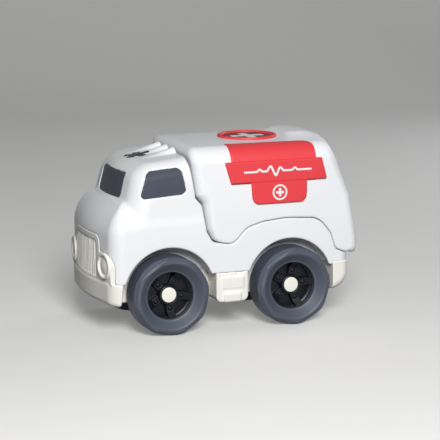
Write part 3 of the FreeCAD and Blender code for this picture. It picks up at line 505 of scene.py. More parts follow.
face_outline = rounded_outline(
    face_half + [(-u, v) for u, v in reversed(face_half)],
    [0, lamp_radius, 0, arch_corner_radius, arch_corner_radius, 0, lamp_radius, 0],
)
grille_outline = rounded_outline(
    [
        (-grille_half_width, grille_foot_z), (grille_half_width, grille_foot_z),
        (grille_half_width, grille_top_z), (-grille_half_width, grille_top_z),
    ],
    [grille_foot_radius, grille_foot_radius, grille_corner_radius, grille_corner_radius],
)
rear_bumper_outline = rounded_outline(
    [
        (0.05, rear_bumper_floor_z), (rear_bumper_back_y, rear_bumper_floor_z),
        (rear_bumper_back_y, 0.06), (0.05, 0.06),
    ],
    [0, rear_bumper_radius, 0, 0],
)
sill_head_z = parting_z + sill_panel_margin
sill_outline = rounded_outline(
    [
        (sill_front_y, sill_floor_z), (sill_rear_y, sill_floor_z),
        (sill_rear_y, sill_head_z), (sill_front_y, sill_head_z),
    ],
    [sill_corner_radius, sill_corner_radius, 0, 0],
)
back_outline = rounded_outline(
    [
        (-0.2, 0), (tail_y, 0), (tail_y, 0.0594), (0.0930, 0.0904),
        (0.0822, 0.116), (0.0748, 0.1295), (0.0708, 0.1375), (-0.2, 0.1375),
    ],
    [0, 0, back_bend_radius, back_bend_radius, back_bend_radius, 0, 0, 0],
)
banner_outline = rounded_outline(
    [(-0.0005, 0.1048), (0.0726, 0.1048), (0.0689, 0.1198), (-0.0049, 0.1198)], [banner_corner_radius] * 4
)
tab_outline = rounded_outline(
    [(0.0146, 0.110), (0.0158, 0.089), (0.0566, 0.089), (0.0578, 0.110)],
    [0, tab_corner_radius, tab_corner_radius, 0],
)


def nose_and_sides(x, y, z):
    """Plan of the lower body: a crowned nose, sides that lean in above the waist and a straight back, met
    with rounded corners."""
    across = np.abs(x)
    upright = across - body_half_width
    leaning = past_line(across, z, (body_half_width, waist_z), (shoulder_half_width, shoulder_z))
    side = soft_meet(upright, leaning, side_ease)
    front = crowned_front(x, y, nose_y, nose_setback, body_half_width, nose_crown_radius)
    plan = rounded_meet(front, side, nose_corner_radius)
    return rounded_meet(plan, y - lower_back_y, lower_corner_radius)


def cab_base(x, y, z):
    """Lower body under its hood: the greater of two sloping planes, one up to the foot of the windscreen
    and a nearly level one behind it."""
    sloping = past_line(y, z, (screen_foot_y, hood_foot_z), (nose_y, hood_front_z))
    rising = past_line(y, z, (lower_back_y, shoulder_z), (screen_foot_y, hood_foot_z))
    hood = np.maximum(sloping, rising)
    return rounded_meet(nose_and_sides(x, y, z), hood, hood_edge_radius)


def house_side_and_roof(x, y, z):
    """Leaning sides of the cab above the hood and its roof, both in heights over a plane that climbs to the
    back. The roof is crowned by a parabola."""
    across = np.abs(x)
    level_z = z - cab_roof_slope * (y - nose_y)
    head_z = cab_roof_front_z - cab_roof_slope * (screen_foot_y - nose_y)
    leaning = past_line(across, level_z, (shoulder_half_width, shoulder_z), (cab_roof_half_width, head_z))
    side = soft_meet(across - shoulder_half_width, leaning, side_ease)
    crown = cab_roof_crown * (1 - (x / cab_roof_half_width) ** 2)
    return side, (level_z - head_z - crown) / math.hypot(1, cab_roof_slope)


def cab_house(x, y, z):
    """Cab above the hood: a leaning crowned screen, the sides and the roof, met with rounded edges. Below
    its foot it draws back inside the lower body, and it ends inside the rear body."""
    screen_y = y - screen_slope * (z - hood_foot_z)
    screen = crowned_front(
        x, screen_y, screen_foot_y, screen_setback, shoulder_half_width, screen_crown_radius
    ) / math.hypot(1, screen_slope)
    side, roof = house_side_and_roof(x, y, z)
    house = rounded_meet(rounded_meet(screen, side, screen_corner_radius), roof, cab_roof_radius)
    sunk = house_fade / 3 * (1 - ease(z, house_foot_z - house_fade, house_foot_z))
    return np.maximum(house + sunk, y - house_back_y)


def side_pane(x, y, z):
    """Left side window: what lies in its outline, between a surface a little under the cab's skin and
    another one a pane's thickness deeper."""
    side, roof = house_side_and_roof(x, y, z)
    skin = rounded_meet(side, roof, cab_roof_radius)
    pane = np.maximum(outline_distance(side_glass_outline, y, z) + pane_gap, well_inner_x - x)
    pane = rounded_meet(pane, skin + pane_sink, pane_edge_radius)
    return np.maximum(pane, -skin - pane_sink - pane_thickness)


def roof_flutes(x, y, z):
    """Three round ribs: cylinders about lines that climb out of the cab roof toward its back edge."""
    start_z = cab_roof_front_z + cab_roof_crown / 2 + cab_roof_slope * (flute_front_y - screen_foot_y)
    start = (flute_front_y, start_z - flute_half_width)
    run = seam_corners[0][0] + flute_overrun - flute_front_y
    end = (start[0] + run, start[1] + run * cab_roof_slope + flute_rise)
    above = past_line(y, z, end, start)
    nearest = np.abs(x) - flute_spacing * np.clip(np.round(np.abs(x) / flute_spacing), 0, 1)
    return np.maximum(np.hypot(nearest, above) - flute_half_width, flute_front_y - flute_lead - y)


def wheel_space(x, y, z):
    """Space of the wheels: a circle over each axle, its half widths straight down, and only outside the
    tub."""
    front_y, rear_y = y + half_wheelbase, y - half_wheelbase + rear_arch_lead
    rear_z = z - axle_z - rear_arch_lift
    front_z = z - axle_z
    front = np.where(front_z > 0, np.hypot(front_y, front_z), np.abs(front_y)) - arch_radius
    rear = np.where(rear_z > 0, np.hypot(rear_y, rear_z), np.abs(rear_y)) - rear_arch_radius
    return rounded_meet(np.minimum(front, rear), well_inner_x - np.abs(x), arch_edge_radius)


def cab_skin(x, y, z):
    """Outer skin of the cab and lower body, before the seam and the pockets: body and house joined with a
    fillet in front and softly at the doors, and then the ribs of the roof."""
    base, house = cab_base(x, y, z), cab_house(x, y, z)
    share = ease(np.abs(x), *door_blend_span)
    middle = rounded_join(base, house, hood_join_radius)
    body = middle * (1 - share) + soft_join(base, house, door_blend) * share
    return rounded_join(body, roof_flutes(x, y, z), flute_join_radius)


def cab_shell(x, y, z):
    """Cab and lower body: the skin with the rear body's space, wheel spaces, underside, face and window
    pockets taken away, each with its own edge radius."""
    skin = cab_skin(x, y, z)
    seam = outline_distance(seam_outline, y, z)
    body = rounded_meet(skin, -seam, seam_edge_radius)
    body = rounded_meet(body, -wheel_space(x, y, z), arch_edge_radius)
    foot = np.where(y > rear_parting_y, rear_parting_z, parting_z)
    foot = np.where(y < -half_wheelbase, front_parting_z, foot)
    body = rounded_meet(body, foot - z, parting_edge_radius)
    face = outline_distance(face_outline, x, z) - face_grow
    face = np.maximum(face, -nose_and_sides(x, y, z) - face_depth)
    face = np.maximum(face, y - nose_y - nose_setback - nose_corner_radius)
    body = rounded_meet(body, -face, window_edge_radius)
    sides = np.maximum(outline_distance(side_glass_outline, y, z), well_inner_x - np.abs(x))
    screen = np.maximum(outline_distance(screen_outline, x, z), y + half_wheelbase)
    pocket = np.maximum(np.minimum(sides, screen), -skin - window_pocket)
    return rounded_meet(body, -pocket, window_edge_radius)


def back_distance(x, y, z):
    """Distance behind the back, whose outline leans in by steps and is pushed out in the middle by a
    parabola that grows with the height."""
    bulge = np.maximum(1 - (x / rear_roof_half_width) ** 2, 0) * ease(z, *back_crown_heights)
    return outline_distance(back_outline, y - roof_back_crown * bulge, z)


def rear_plain(x, y, z):
    """Rear body without its seam and fairing: sides leaning in to a crowned roof, and a crowned back whose
    edge gets sharper toward the roof."""
    across = np.abs(x)
    leaning = past_line(across, z, (body_half_width, rear_waist_z), (rear_roof_half_width, roof_z))
    side = soft_meet(across - body_half_width, leaning, rear_side_ease)
    roof = z - roof_z - rear_roof_crown * (1 - (x / rear_roof_half_width) ** 2)
    radius = rear_corner_radius + (roof_back_radius - rear_corner_radius) * ease(z, *back_edge_heights)
    return rounded_meet(rounded_meet(side, roof, rear_roof_radius), back_distance(x, y, z), radius)


def roof_hump(x, y, z):
    """Raised fairing behind the dish: what lies under a level crest and four planes that slope from it to
    the foot, met softly, and ahead of the back."""
    crest_z = roof_z + hump_rise
    front = past_line(y, z, (hump_crest_y, crest_z), (hump_front_y, roof_z))
    tail = past_line(y, z, (hump_tail_y, hump_tail_z), (hump_back_y, crest_z))
    side = past_line(np.abs(x), z, (hump_half_width, roof_z), (hump_crest_half_width, crest_z))
    over = soft_meet(np.maximum(side, np.abs(x) - hump_half_width), z - crest_z, hump_edge_ease)
    over = soft_meet(soft_meet(over, front, hump_front_ease), tail, hump_tail_ease)
    over = np.maximum(over, hump_foot_z - hump_root - z)
    return soft_meet(over, back_distance(x, y, z) + hump_root / 2, hump_edge_ease)


def rear_body(x, y, z):
    """Rear body: its skin joined with the fairing and ended a gap above the seam, with a rim that is
    rounded most along the front, least over the wheel, a little more behind it and again at the tail's
    corner."""
    skin = rounded_join(rear_plain(x, y, z), roof_hump(x, y, z), hump_join_radius)
    at_front = 1 - ease(y, *front_rim_end)
    seam = outline_distance(seam_outline, y, z) + seam_gap + front_gap * at_front
    radius = fender_rim_radius + (front_rim_radius - fender_rim_radius) * at_front
    radius = radius + (tail_rim_radius - fender_rim_radius) * ease(y, *tail_rim_start)
    radius = radius + (tail_corner_radius - tail_rim_radius) * ease(y, *corner_rim_start)
    return rounded_meet(skin, seam, radius)


def side_sign(x, y, z, lower=0.0):
    """Left red sign: a thin panel that wraps onto the roof and gets thinner there, a thicker slanted
    banner and a thicker tab under it. Each is what lies in its outline and less than its thickness over
    the rear body's skin. The edge on the roof can be set lower."""
    skin = rear_plain(x, y, z)
    roof_x = sign_roof_front_x + (sign_roof_back_x - sign_roof_front_x) * y / sign_back_y + lower
    panel = np.maximum(np.maximum(-y, y - sign_back_y), np.maximum(roof_x - x, sign_panel_foot_z - z))
    corner = np.minimum(roof_x + sign_corner_radius - x, y - sign_back_y + sign_corner_radius)
    cut = np.hypot(x - roof_x - sign_corner_radius, y - sign_back_y + sign_corner_radius)
    panel = np.where(corner > 0, np.maximum(panel, cut - sign_corner_radius), panel)
    thickness = sign_roof_thickness + (sign_thickness - sign_roof_thickness) * ease(x, *sign_thinning)
    sign = rounded_meet(panel, skin - thickness, sign_edge_radius)
    for outline, proud in ((banner_outline, banner_thickness), (tab_outline, tab_thickness)):
        plate = np.maximum(outline_distance(outline, y, z), well_inner_x - x)
        plate = rounded_meet(plate, skin - proud, sign_edge_radius)
        sign = rounded_join(sign, plate, sign_join_radius)
    return np.maximum(sign, -skin - sign_sink)


def far_side_sign(x, y, z):
    """Mirror image of the right red sign, which ends lower on the roof."""
    return side_sign(x, y, z, far_sign_lower)


def lamp_part(x, y, z):
    """Both lamps, in axes square to the nose: a housing, round above and straight down to the bumper, a
    raised ring between two circles, and inside it a glass whose height falls with the square of the
    distance."""
    lean = math.atan2(nose_setback, body_half_width)
    across = np.abs(x) - lamp_x
    ahead = y - nose_y - nose_setback * lamp_x / body_half_width
    along = across * math.cos(lean) + ahead * math.sin(lean)
    out = across * math.sin(lean) - ahead * math.cos(lean)
    up = z - lamp_z
    reach = np.hypot(along, up)
    tomb = np.where(up > 0, reach, np.abs(along)) - lamp_radius
    housing = np.maximum(tomb, front_parting_z - lamp_foot_overlap - z)
    housing = rounded_meet(housing, out - face_proud, face_edge_radius)
    ring = np.abs(reach - lamp_radius + lamp_ring / 2) - lamp_ring / 2
    ring = rounded_meet(ring, out - lamp_ring_proud, lamp_ring_radius)
    dome = out - face_proud - lamp_glass_rise * (1 - (reach / lamp_glass_radius) ** 2)
    dome = np.maximum(dome * lamp_glass_share, reach - lamp_glass_radius)
    return np.maximum(rounded_join(np.minimum(housing, ring), dome, lamp_glass_join), -out - face_thickness)


def front_face(x, y, z):
    """Cream face over the nose: a plate of even thickness under its outline, with the grille's field sunk
    into it, upright ribs at an even pitch in the field, and the lamps."""
    skin = nose_and_sides(x, y, z)
    plate = np.maximum(outline_distance(face_outline, x, z), bumper_floor_z + bumper_foot_radius - z)
    plate = rounded_meet(plate, skin - face_proud, face_edge_radius)
    field = outline_distance(grille_outline, x, z)
    sunk = np.maximum(field, face_proud - grille_depth - skin)
    plate = rounded_meet(plate, -sunk, grille_edge_radius)
    pitch = 2 * grille_half_width / grille_rib_count
    rib_x = x - (np.round(x / pitch) * pitch)
    rib = rounded_meet(np.abs(rib_x) - grille_rib_half_width, skin, grille_rib_radius)
    plate = np.minimum(plate, np.maximum(rib, field))
    plate = np.maximum(plate, -skin - face_thickness)
    plate = np.maximum(plate, y - nose_y - nose_setback - nose_corner_radius)
    return np.minimum(plate, lamp_part(x, y, z))


def bumpers(x, y, z):
    """Front bumper, the nose's plan a little grown between its floor, its parting line and its back, and
    the rear bumper, an outline carried across. Their edges are rounded."""
    skin = nose_and_sides(x, y, z) - bumper_proud
    floor = past_line(y, z, (nose_y, bumper_tip_floor_z), (bumper_foot_back_y, bumper_floor_z))
    back = past_line(y, z, (bumper_back_y, front_parting_z), (bumper_foot_back_y, bumper_floor_z))
    front = rounded_meet(skin, floor, bumper_foot_radius)
    front = rounded_meet(front, z - front_parting_z, bumper_top_radius)
    front = rounded_meet(front, -back, bumper_back_radius)
    side = np.abs(x) - body_half_width - bumper_proud
    rear = rounded_meet(side, outline_distance(rear_bumper_outline, y, z), rear_bumper_edge_radius)
    rear = rounded_meet(rear, z - rear_parting_z, bumper_top_radius)
    rear = rounded_meet(rear, rear_bumper_front_y - y, bumper_top_radius)
    return np.minimum(front, rear)


def block(x, y, z, half_x, from_y, to_y, from_z, to_z, radius):
    """Box across the whole width: three pairs of faces met with rounded edges."""
    along = np.abs(y - (from_y + to_y) / 2) - (to_y - from_y) / 2
    up = np.abs(z - (from_z + to_z) / 2) - (to_z - from_z) / 2
    return rounded_meet(rounded_meet(along, up, radius), np.abs(x) - half_x, radius)


def sills(x, y, z):
    """Sill between the wheels: an outline carried across, with the boxes of a raised panel and a step bar
    joined on, and two short slots cut under its parting line."""
    sill = np.maximum(outline_distance(sill_outline, y, z), z - parting_z)
    sill = rounded_meet(sill, np.abs(x) - body_half_width, sill_edge_radius)
    panel_front, panel_rear = sill_front_y + sill_panel_margin, sill_rear_y - sill_panel_margin
    panel_top = parting_z - sill_panel_margin
    panel = block(x, y, z, body_half_width + sill_panel_proud, panel_front, panel_rear,
                  panel_top - sill_panel_height, panel_top, sill_edge_radius)
    middle = (sill_front_y + sill_rear_y) / 2
    step_front, step_rear = middle - step_half_length, middle + step_half_length
    step = block(x, y, z, body_half_width + step_proud, step_front, step_rear,
                 sill_floor_z, sill_floor_z + step_height, sill_edge_radius)
    sill = rounded_join(np.minimum(sill, panel), step, step_join_radius)
    for start in (panel_front, panel_rear - sill_slot_length):
        along = np.abs(y - start - sill_slot_length / 2) - sill_slot_length / 2
        slot = np.maximum(along, parting_z - sill_slot_height - z)
        slot = np.maximum(slot, body_half_width - sill_slot_depth - np.abs(x))
        sill = rounded_meet(sill, -slot, sill_slot_radius)
    return sill


def chassis(x, y, z):
    """Chassis: face, bumpers, sills and the tub under the floor, less the axle holes and screw wells."""
    tub = block(x, y, z, well_inner_x, tub_front_y, tub_back_y, tub_floor_z, parting_z, tub_edge_radius)
    whole = np.minimum(np.minimum(front_face(x, y, z), bumpers(x, y, z)), sills(x, y, z))
    whole = np.minimum(whole, tub)
    for side in (-1, 1):
        hole = np.hypot(y - side * half_wheelbase, z - axle_z) - axle_hole_radius
        whole = np.maximum(whole, -hole)
    for place_x, place_y in screw_places:
        well = np.hypot(np.abs(x) - place_x, y - place_y) - screw_well_radius
        whole = np.maximum(whole, -np.maximum(well, z - screw_well_top_z))
    return whole


def outward(form, place):
    """Direction in which a form's distance grows, from four nearby readings at the corners of a small
    tetrahedron."""
    total = np.zeros_like(place)
    for corner in np.array([(1, -1, -1), (-1, -1, 1), (-1, 1, -1), (1, 1, 1)]):
        near = place + corner * slope_step
        total += corner * form(near[:, 0], near[:, 1], near[:, 2])[:, None]
    return total / np.maximum(np.linalg.norm(total, axis=1), tiny)[:, None]


def crossings(form, lines, value, axis, cell):
    """Places where the grid's lines along one axis pass through the surface. Each step reads the form
    where a straight line between both ends would be zero, and keeps the half that holds the surface."""
    lower, upper = [slice(None)] * 3, [slice(None)] * 3
    lower[axis], upper[axis] = slice(0, -1), slice(1, None)
    near_value, far_value = value[tuple(lower)], value[tuple(upper)]
    change = (near_value < 0) != (far_value < 0)
    at = np.argwhere(change)
    start = np.stack([lines[i][at[:, i]] for i in range(3)], 1)
    step = np.zeros(3)
    step[axis] = cell
    low, high = np.zeros(len(at)), np.ones(len(at))
    at_low, at_high = near_value[change], far_value[change]
    for _ in range(closing_steps):
        share = np.clip(at_low / (at_low - at_high), least_step, 1 - least_step)
        t = low + (high - low) * share
        place = start + t[:, None] * step
        found = form(place[:, 0], place[:, 1], place[:, 2])
        same = (found < 0) == (at_low < 0)
        low, at_low = np.where(same, t, low), np.where(same, found, at_low)
        high, at_high = np.where(same, high, t), np.where(same, at_high, found)
    t = low + (high - low) * at_low / (at_low - at_high)
    return at, start + t[:, None] * step, near_value[change] < 0


def contoured(form, low, high, cell):
    """Surface on which a form's distance is zero. The form is read on an even grid. Each grid cell that
    the surface passes through gets one vertex, at the place that lies nearest to the tangent planes where
    the surface crosses the cell's edges, kept in the cell and between the outermost crossings. Each
    crossed edge gets one face between the vertices of its four cells, turned outward. The vertex normals
    are the mean of the same tangent planes'."""
    counts = [math.ceil((high[i] - low[i]) / cell) + 1 for i in range(3)]
    lines = [low[i] + cell * np.arange(counts[i]) for i in range(3)]
    value = form(lines[0][:, None, None], lines[1][None, :, None], lines[2][None, None, :])
    value = np.broadcast_to(value, counts)
    strides = np.array([counts[1] * counts[2], counts[2], 1])
    cells, places, normals, quads = [], [], [], []
    for axis in range(3):
        at, place, starts_inside = crossings(form, lines, value, axis, cell)
        normal = outward(form, place)
        side_u, side_v = strides[(axis + 1) % 3], strides[(axis + 2) % 3]
        around = (at @ strides)[:, None] + np.array([0, -side_u, -side_u - side_v, -side_v])
        cells.append(around)
        places.append(place)
        normals.append(normal)
        quads.append(np.where(starts_inside[:, None], around, around[:, ::-1]))
    cells, places, normals = np.concatenate(cells), np.concatenate(places), np.concatenate(normals)
    used, index = np.unique(cells.ravel(), return_inverse=True)

    def gathered(rows):
        """Sum of the rows over each cell."""
        return np.bincount(index, np.repeat(rows, 4), len(used))

    count = gathered(np.ones(len(places)))
    middle = np.stack([gathered(places[:, i]) for i in range(3)], 1) / count[:, None]
    normal = np.stack([gathered(normals[:, i]) for i in range(3)], 1)
    reach = np.einsum("ij,ij->i", normals, places)
    square = np.zeros((len(used), 3, 3))
    pull = np.zeros((len(used), 3))
    for i in range(3):
        pull[:, i] = gathered(normals[:, i] * reach)
        for j in range(3):
            square[:, i, j] = gathered(normals[:, i] * normals[:, j])
    pull -= np.einsum("nij,nj->ni", square, middle)
    square += (steadying * count)[:, None, None] * np.eye(3)
    place = middle + np.linalg.solve(square, pull[:, :, None])[:, :, 0]
    corner = np.stack([low[i] + cell * (used // strides[i] % counts[i]) for i in range(3)], 1)
    place = np.clip(np.clip(place, corner, corner + cell), places.min(0), places.max(0))
    faces = np.searchsorted(used, np.concatenate(quads))
    normal /= np.maximum(np.linalg.norm(normal, axis=1), tiny)[:, None]
    return place, faces, normal


def swept(profile, angles):
    """Surface of revolution about the axle line: each angle repeats the profile of (radius, outward), at
    radius times the angle's sine along and its cosine up. Profiles may differ from angle to angle."""
    profile = np.broadcast_to(profile, (len(angles),) + profile.shape[-2:])
    radius, out = profile[..., 0], profile[..., 1]
    place = np.stack([out, radius * np.sin(angles)[:, None], radius * np.cos(angles)[:, None]], -1)
    rows, columns = radius.shape
    index = np.arange(rows * columns).reshape(rows, columns)
    ahead = np.roll(index, -1, axis=0)
    faces = np.stack([index[:, :-1], index[:, 1:], ahead[:, 1:], ahead[:, :-1]], -1)
    return place.reshape(-1, 3), faces.reshape(-1, 4)


def full_turn(steps):
    """Angles of even steps round a whole turn."""
    return np.linspace(0, 2 * math.pi, steps, endpoint=False)


def welded(place, faces):
    """The same surface with the vertices that fall together made one, less the faces that then have fewer
    than three corners."""
    key = np.round(place / weld_reach).astype(np.int64)
    _, first, index = np.unique(key, axis=0, return_index=True, return_inverse=True)
    kept = []
    for face in index.ravel()[faces].tolist():
        corners = [corner for k, corner in enumerate(face) if corner != face[k - 1]]
        if len(corners) > 2:
            kept.append(corners)
    return place[first], kept


def placed(name, data):
    """New object with the data, in the scene."""
    thing = bpy.data.objects.new(name, data)
    bpy.context.scene.collection.objects.link(thing)
    return thing


def make_piece(name, place, faces, material, body, stands_for=(), normals=None):
    """Puts a surface in as a piece of the toy: moved to the frame, smooth, faces outward, on its body."""
    place = np.asarray(place, float) + np.array([0, middle_y, 0])
    mesh = bpy.data.meshes.new(name)
    if isinstance(faces, np.ndarray):
        size = faces.shape[1]
        mesh.vertices.add(len(place))
        mesh.vertices.foreach_set("co", place.astype(np.float32).ravel())
        mesh.loops.add(faces.size)
        mesh.loops.foreach_set("vertex_index", faces.astype(np.int32).ravel())
        mesh.polygons.add(len(faces))
        mesh.polygons.foreach_set("loop_start", np.arange(0, faces.size, size, dtype=np.int32))
        mesh.update(calc_edges=True)
    else:
        mesh.from_pydata(place.tolist(), [], faces)
    mesh.validate()
    turn_outward(mesh)
    mesh.shade_smooth()
    if normals is not None:
        mesh.normals_split_custom_set_from_vertices(normals.tolist())
    piece = placed(name, mesh)
    mesh.materials.append(material)
    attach(piece, body)
    if stands_for:
        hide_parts(*stands_for)


def turn_outward(mesh):
    """Turns all faces round if the sum of the corners' triple products, the volume, is negative."""
    mesh.calc_loop_triangles()
    corners = np.zeros(len(mesh.loop_triangles) * 3, np.int32)
    mesh.loop_triangles.foreach_get("vertices", corners)
    place = np.zeros(len(mesh.vertices) * 3, np.float32)
    mesh.vertices.foreach_get("co", place)
    place = place.reshape(-1, 3)
    place = place - place.mean(0)
    a, b, c = (place[corners.reshape(-1, 3)[:, i]] for i in range(3))
    if np.einsum("ij,ij->", a, np.cross(b, c)) < 0:
        mesh.flip_normals()


def moulded(name, colour, roughness, grain=0.00035, grain_depth=0.00003, tint=0.05, speck=0.0,
            speck_colour=(0.2, 0.2, 0.2), soft_edge=0.0, specular=0.5, scuff=0.06):
    """Moulded plastic: a slow drift of tone, fine specks, a fine grain in the surface, and faint scuffs
    that change the gloss. With soft_edge the sharp edges catch light as if they were rounded to it."""
    material = bpy.data.materials.new(name)
    material.use_nodes = True
    nodes, links = material.node_tree.nodes, material.node_tree.links
    shader = nodes["Principled BSDF"]
    shader.inputs["Specular IOR Level"].default_value = specular
    coordinates = nodes.new("ShaderNodeTexCoord")

    def noise(size, detail, stretch=None):
        """Noise of a size in metres, drawn out along a slanting axis where it is stretched."""
        node = nodes.new("ShaderNodeTexNoise")
        node.inputs["Scale"].default_value = 1 / size
        node.inputs["Detail"].default_value = detail
        source = coordinates.outputs["Object"]
        if stretch:
            mapping = nodes.new("ShaderNodeMapping")
            mapping.inputs["Scale"].default_value = stretch
            mapping.inputs["Rotation"].default_value = scuff_turn
            links.new(source, mapping.inputs["Vector"])
            source = mapping.outputs["Vector"]
        links.new(source, node.inputs["Vector"])
        return node.outputs["Fac"]

    def spread(value, low, high, to_low, to_high):
        """The value carried in a straight line from one span to another, and kept in it."""
        node = nodes.new("ShaderNodeMapRange")
        node.inputs["From Min"].default_value = low
        node.inputs["From Max"].default_value = high
        node.inputs["To Min"].default_value = to_low
        node.inputs["To Max"].default_value = to_high
        links.new(value, node.inputs["Value"])
        return node.outputs["Result"]

    def mixed(share, first, second):
        """The first colour where the share is 0, the second where it is 1."""
        node = nodes.new("ShaderNodeMix")
        node.data_type = "RGBA"
        links.new(share, node.inputs["Factor"])
        for value, socket in ((first, node.inputs["A"]), (second, node.inputs["B"])):
            if isinstance(value, tuple):
                socket.default_value = (*value, 1)
            else:
                links.new(value, socket)
        return node.outputs["Result"]

    darker = tuple(c * (1 - tint) for c in colour)
    tone = mixed(spread(noise(drift_size, 3), *drift_span, 0, 1), colour, darker)
    if speck:
        tone = mixed(spread(noise(speck_size, 2), *speck_span, 0, speck), tone, speck_colour)
    links.new(tone, shader.inputs["Base Color"])
    gloss = spread(noise(scuff_size, 5, scuff_stretch), *scuff_span, roughness, roughness + scuff)
    links.new(gloss, shader.inputs["Roughness"])
    bump = nodes.new("ShaderNodeBump")
    bump.inputs["Distance"].default_value = grain_depth
    bump.inputs["Strength"].default_value = 1.0
    links.new(noise(grain, 3), bump.inputs["Height"])
    if soft_edge:
        bevel = nodes.new("ShaderNodeBevel")
        bevel.samples = 6
        bevel.inputs["Radius"].default_value = soft_edge
        links.new(bevel.outputs["Normal"], bump.inputs["Normal"])
    links.new(bump.outputs["Normal"], shader.inputs["Normal"])
    return material


white = moulded(
    "white_shell", (0.80, 0.81, 0.84), 0.42, speck=0.10, speck_colour=(0.55, 0.55, 0.58), tint=0.02
)
cream_speck = {"speck": 0.2, "speck_colour": (0.60, 0.55, 0.42)}
cream = moulded("cream_chassis", (0.83, 0.81, 0.765), 0.50, tint=0.03, **cream_speck)
cream_smooth = moulded("cream_cap", (0.86, 0.84, 0.77), 0.45, tint=0.02, **cream_speck)
red = moulded("red_sign", (0.73, 0.046, 0.057), 0.45, speck=0.10, speck_colour=(0.5, 0.02, 0.04))
window_dark = moulded(
    "window_dark", (0.064, 0.072, 0.098), 0.42, tint=0.12, soft_edge=0.0003, specular=0.18
)
tyre_slate = moulded(
    "tyre_slate", (0.064, 0.076, 0.106), 0.5, grain=0.0005, speck=0.15, speck_colour=(0.06, 0.07, 0.09),
    tint=0.08,
)
rim_black = moulded(
    "rim_black", (0.004, 0.005, 0.009), 0.36, grain_depth=0.000001, tint=0.2, specular=0.30, scuff=0.03
)
steel = moulded("axle_steel", (0.45, 0.45, 0.46), 0.3, tint=0.1)
print_white = moulded("print_white", (0.82, 0.82, 0.82), 0.4, grain_depth=0.00001, tint=0.02)
# Painted shade: the dark red that the dish's shadowed floor shows
painted_shade_dark_red = moulded("painted_shade_dark_red", (0.10, 0.008, 0.014), 0.4, grain_depth=0.00001, tint=0.1)
print_black = moulded("print_black", (0.02, 0.02, 0.022), 0.4, grain_depth=0.00001, tint=0.1)


def even_box(half_x, low_y, low_z, high_y, high_z, cell):
    """Corners of a grid that is even about the middle plane: its half width is a whole number of cells."""
    wide = math.ceil(half_x / cell) * cell
    return (-wide, low_y, low_z), (wide, high_y, high_z)


def make_shell(node, surface, material):
    """A contoured surface in the place of a node of the body."""
    place, faces, normals = surface
    make_piece(node + "_visual", place, faces, material, "body", [node], normals)


def mirrored(surface):
    """The surface on the other side of the middle plane."""
    place, faces, normals = surface
    return place * mirror_x, faces[:, ::-1], normals * mirror_x


def make_cab_shell():
    """Cab with the lower body."""
    cell = cab_cell
    box = even_box(body_half_width + cell, nose_y - 2 * cell, front_parting_z - 2 * cell,
                   lower_back_y + 2 * cell, roof_z, cell)
    make_shell("cab_shell", contoured(cab_shell, *box, cell), white)


def make_rear_body():
    """Rear body with its fairing."""
    cell = rear_cell
    box = even_box(body_half_width + cell, seam_corners[0][0] - 2 * cell, rear_low_z,
                   tail_y + 2 * cell, roof_z + hump_rise + 2 * cell, cell)
    make_shell("rear_body", contoured(rear_body, *box, cell), white)


def make_chassis():
    """Chassis with the face and the bumpers."""
    cell = chassis_cell
    box = even_box(body_half_width + lamp_ring_proud, nose_y - 4 * cell, sill_floor_z - 2 * cell,
                   rear_bumper_back_y + 2 * cell, arch_top_z + 2 * cell, cell)
    make_shell("chassis", contoured(chassis, *box, cell), cream)


def make_side_pieces():
    """Side windows and side signs. A right one is the mirror image of a surface on the left."""
    pane = contoured(side_pane, pane_low, pane_high, pane_cell)
    make_shell("side_window_left", pane, window_dark)
    make_shell("side_window_right", mirrored(pane), window_dark)
    near_sign = contoured(side_sign, sign_low, sign_high, sign_cell)
    far_sign = contoured(far_side_sign, sign_low, sign_high, sign_cell)
    make_shell("side_sign_left", near_sign, red)
    make_shell("side_sign_right", mirrored(far_sign), red)


def with_more_places(path, spacing):
    """The same path with places added evenly along its straight runs."""
    length = np.concatenate([[0], np.cumsum(np.linalg.norm(np.diff(path, axis=0), axis=1))])
    even = np.linspace(0, length[-1], math.ceil(length[-1] / spacing) + 1)
    at = np.unique(np.round(np.concatenate([length, even]), length_decimals))
    return np.stack([np.interp(at, length, path[:, i]) for i in range(2)], 1)


def round_profile(corners, radii, spacing):
    """Outline through rounded corners, ended where it starts, with places along its straight runs too."""
    outline = rounded_outline(corners, radii)
    return with_more_places(np.concatenate([outline, outline[:1]]), spacing)


def tyre_surface(scoop_turn):
    """Tyre: a rounded section turned about the axle, pressed in by shallow lens-shaped scoops along the
    outer shoulder. A scoop's depth falls off from its middle with the square of the distance."""
    half = tyre_half_width
    corners = [
        (opening_radius, -0.0008), (opening_radius, 0.0050), (0.0184, 0.0056), (0.0226, 0.0092),
        (0.0238, half), (0.0262, half), (tyre_radius, 0.0076), (tyre_radius, -0.0084),
        (0.0264, -half), (0.0202, -half), (0.0186, -0.0078), (0.0186, -0.0008),
    ]
    radii = [0, 0.0005, 0.0004, 0.0010, 0.0008, 0.0016, 0.0020, 0.0020, 0.0016, 0.0008, 0.0004, 0]
    profile = round_profile(corners, radii, tyre_spacing)
    angles = full_turn(tyre_steps)
    pitch = 2 * math.pi / scoop_count
    turn = (angles - scoop_turn + pitch / 2) % pitch - pitch / 2
    along = ((profile[:, 0] - scoop_radius) - (profile[:, 1] - scoop_out)) / math.sqrt(2)
    fall = 1 - (turn[:, None] / scoop_half_angle) ** 2 - (along[None, :] / scoop_reach) ** 2
    depth = scoop_depth * np.maximum(fall, 0) * (profile[:, 1] > scoop_inner_out)
    return swept(profile[None] - depth[:, :, None] / math.sqrt(2), angles)


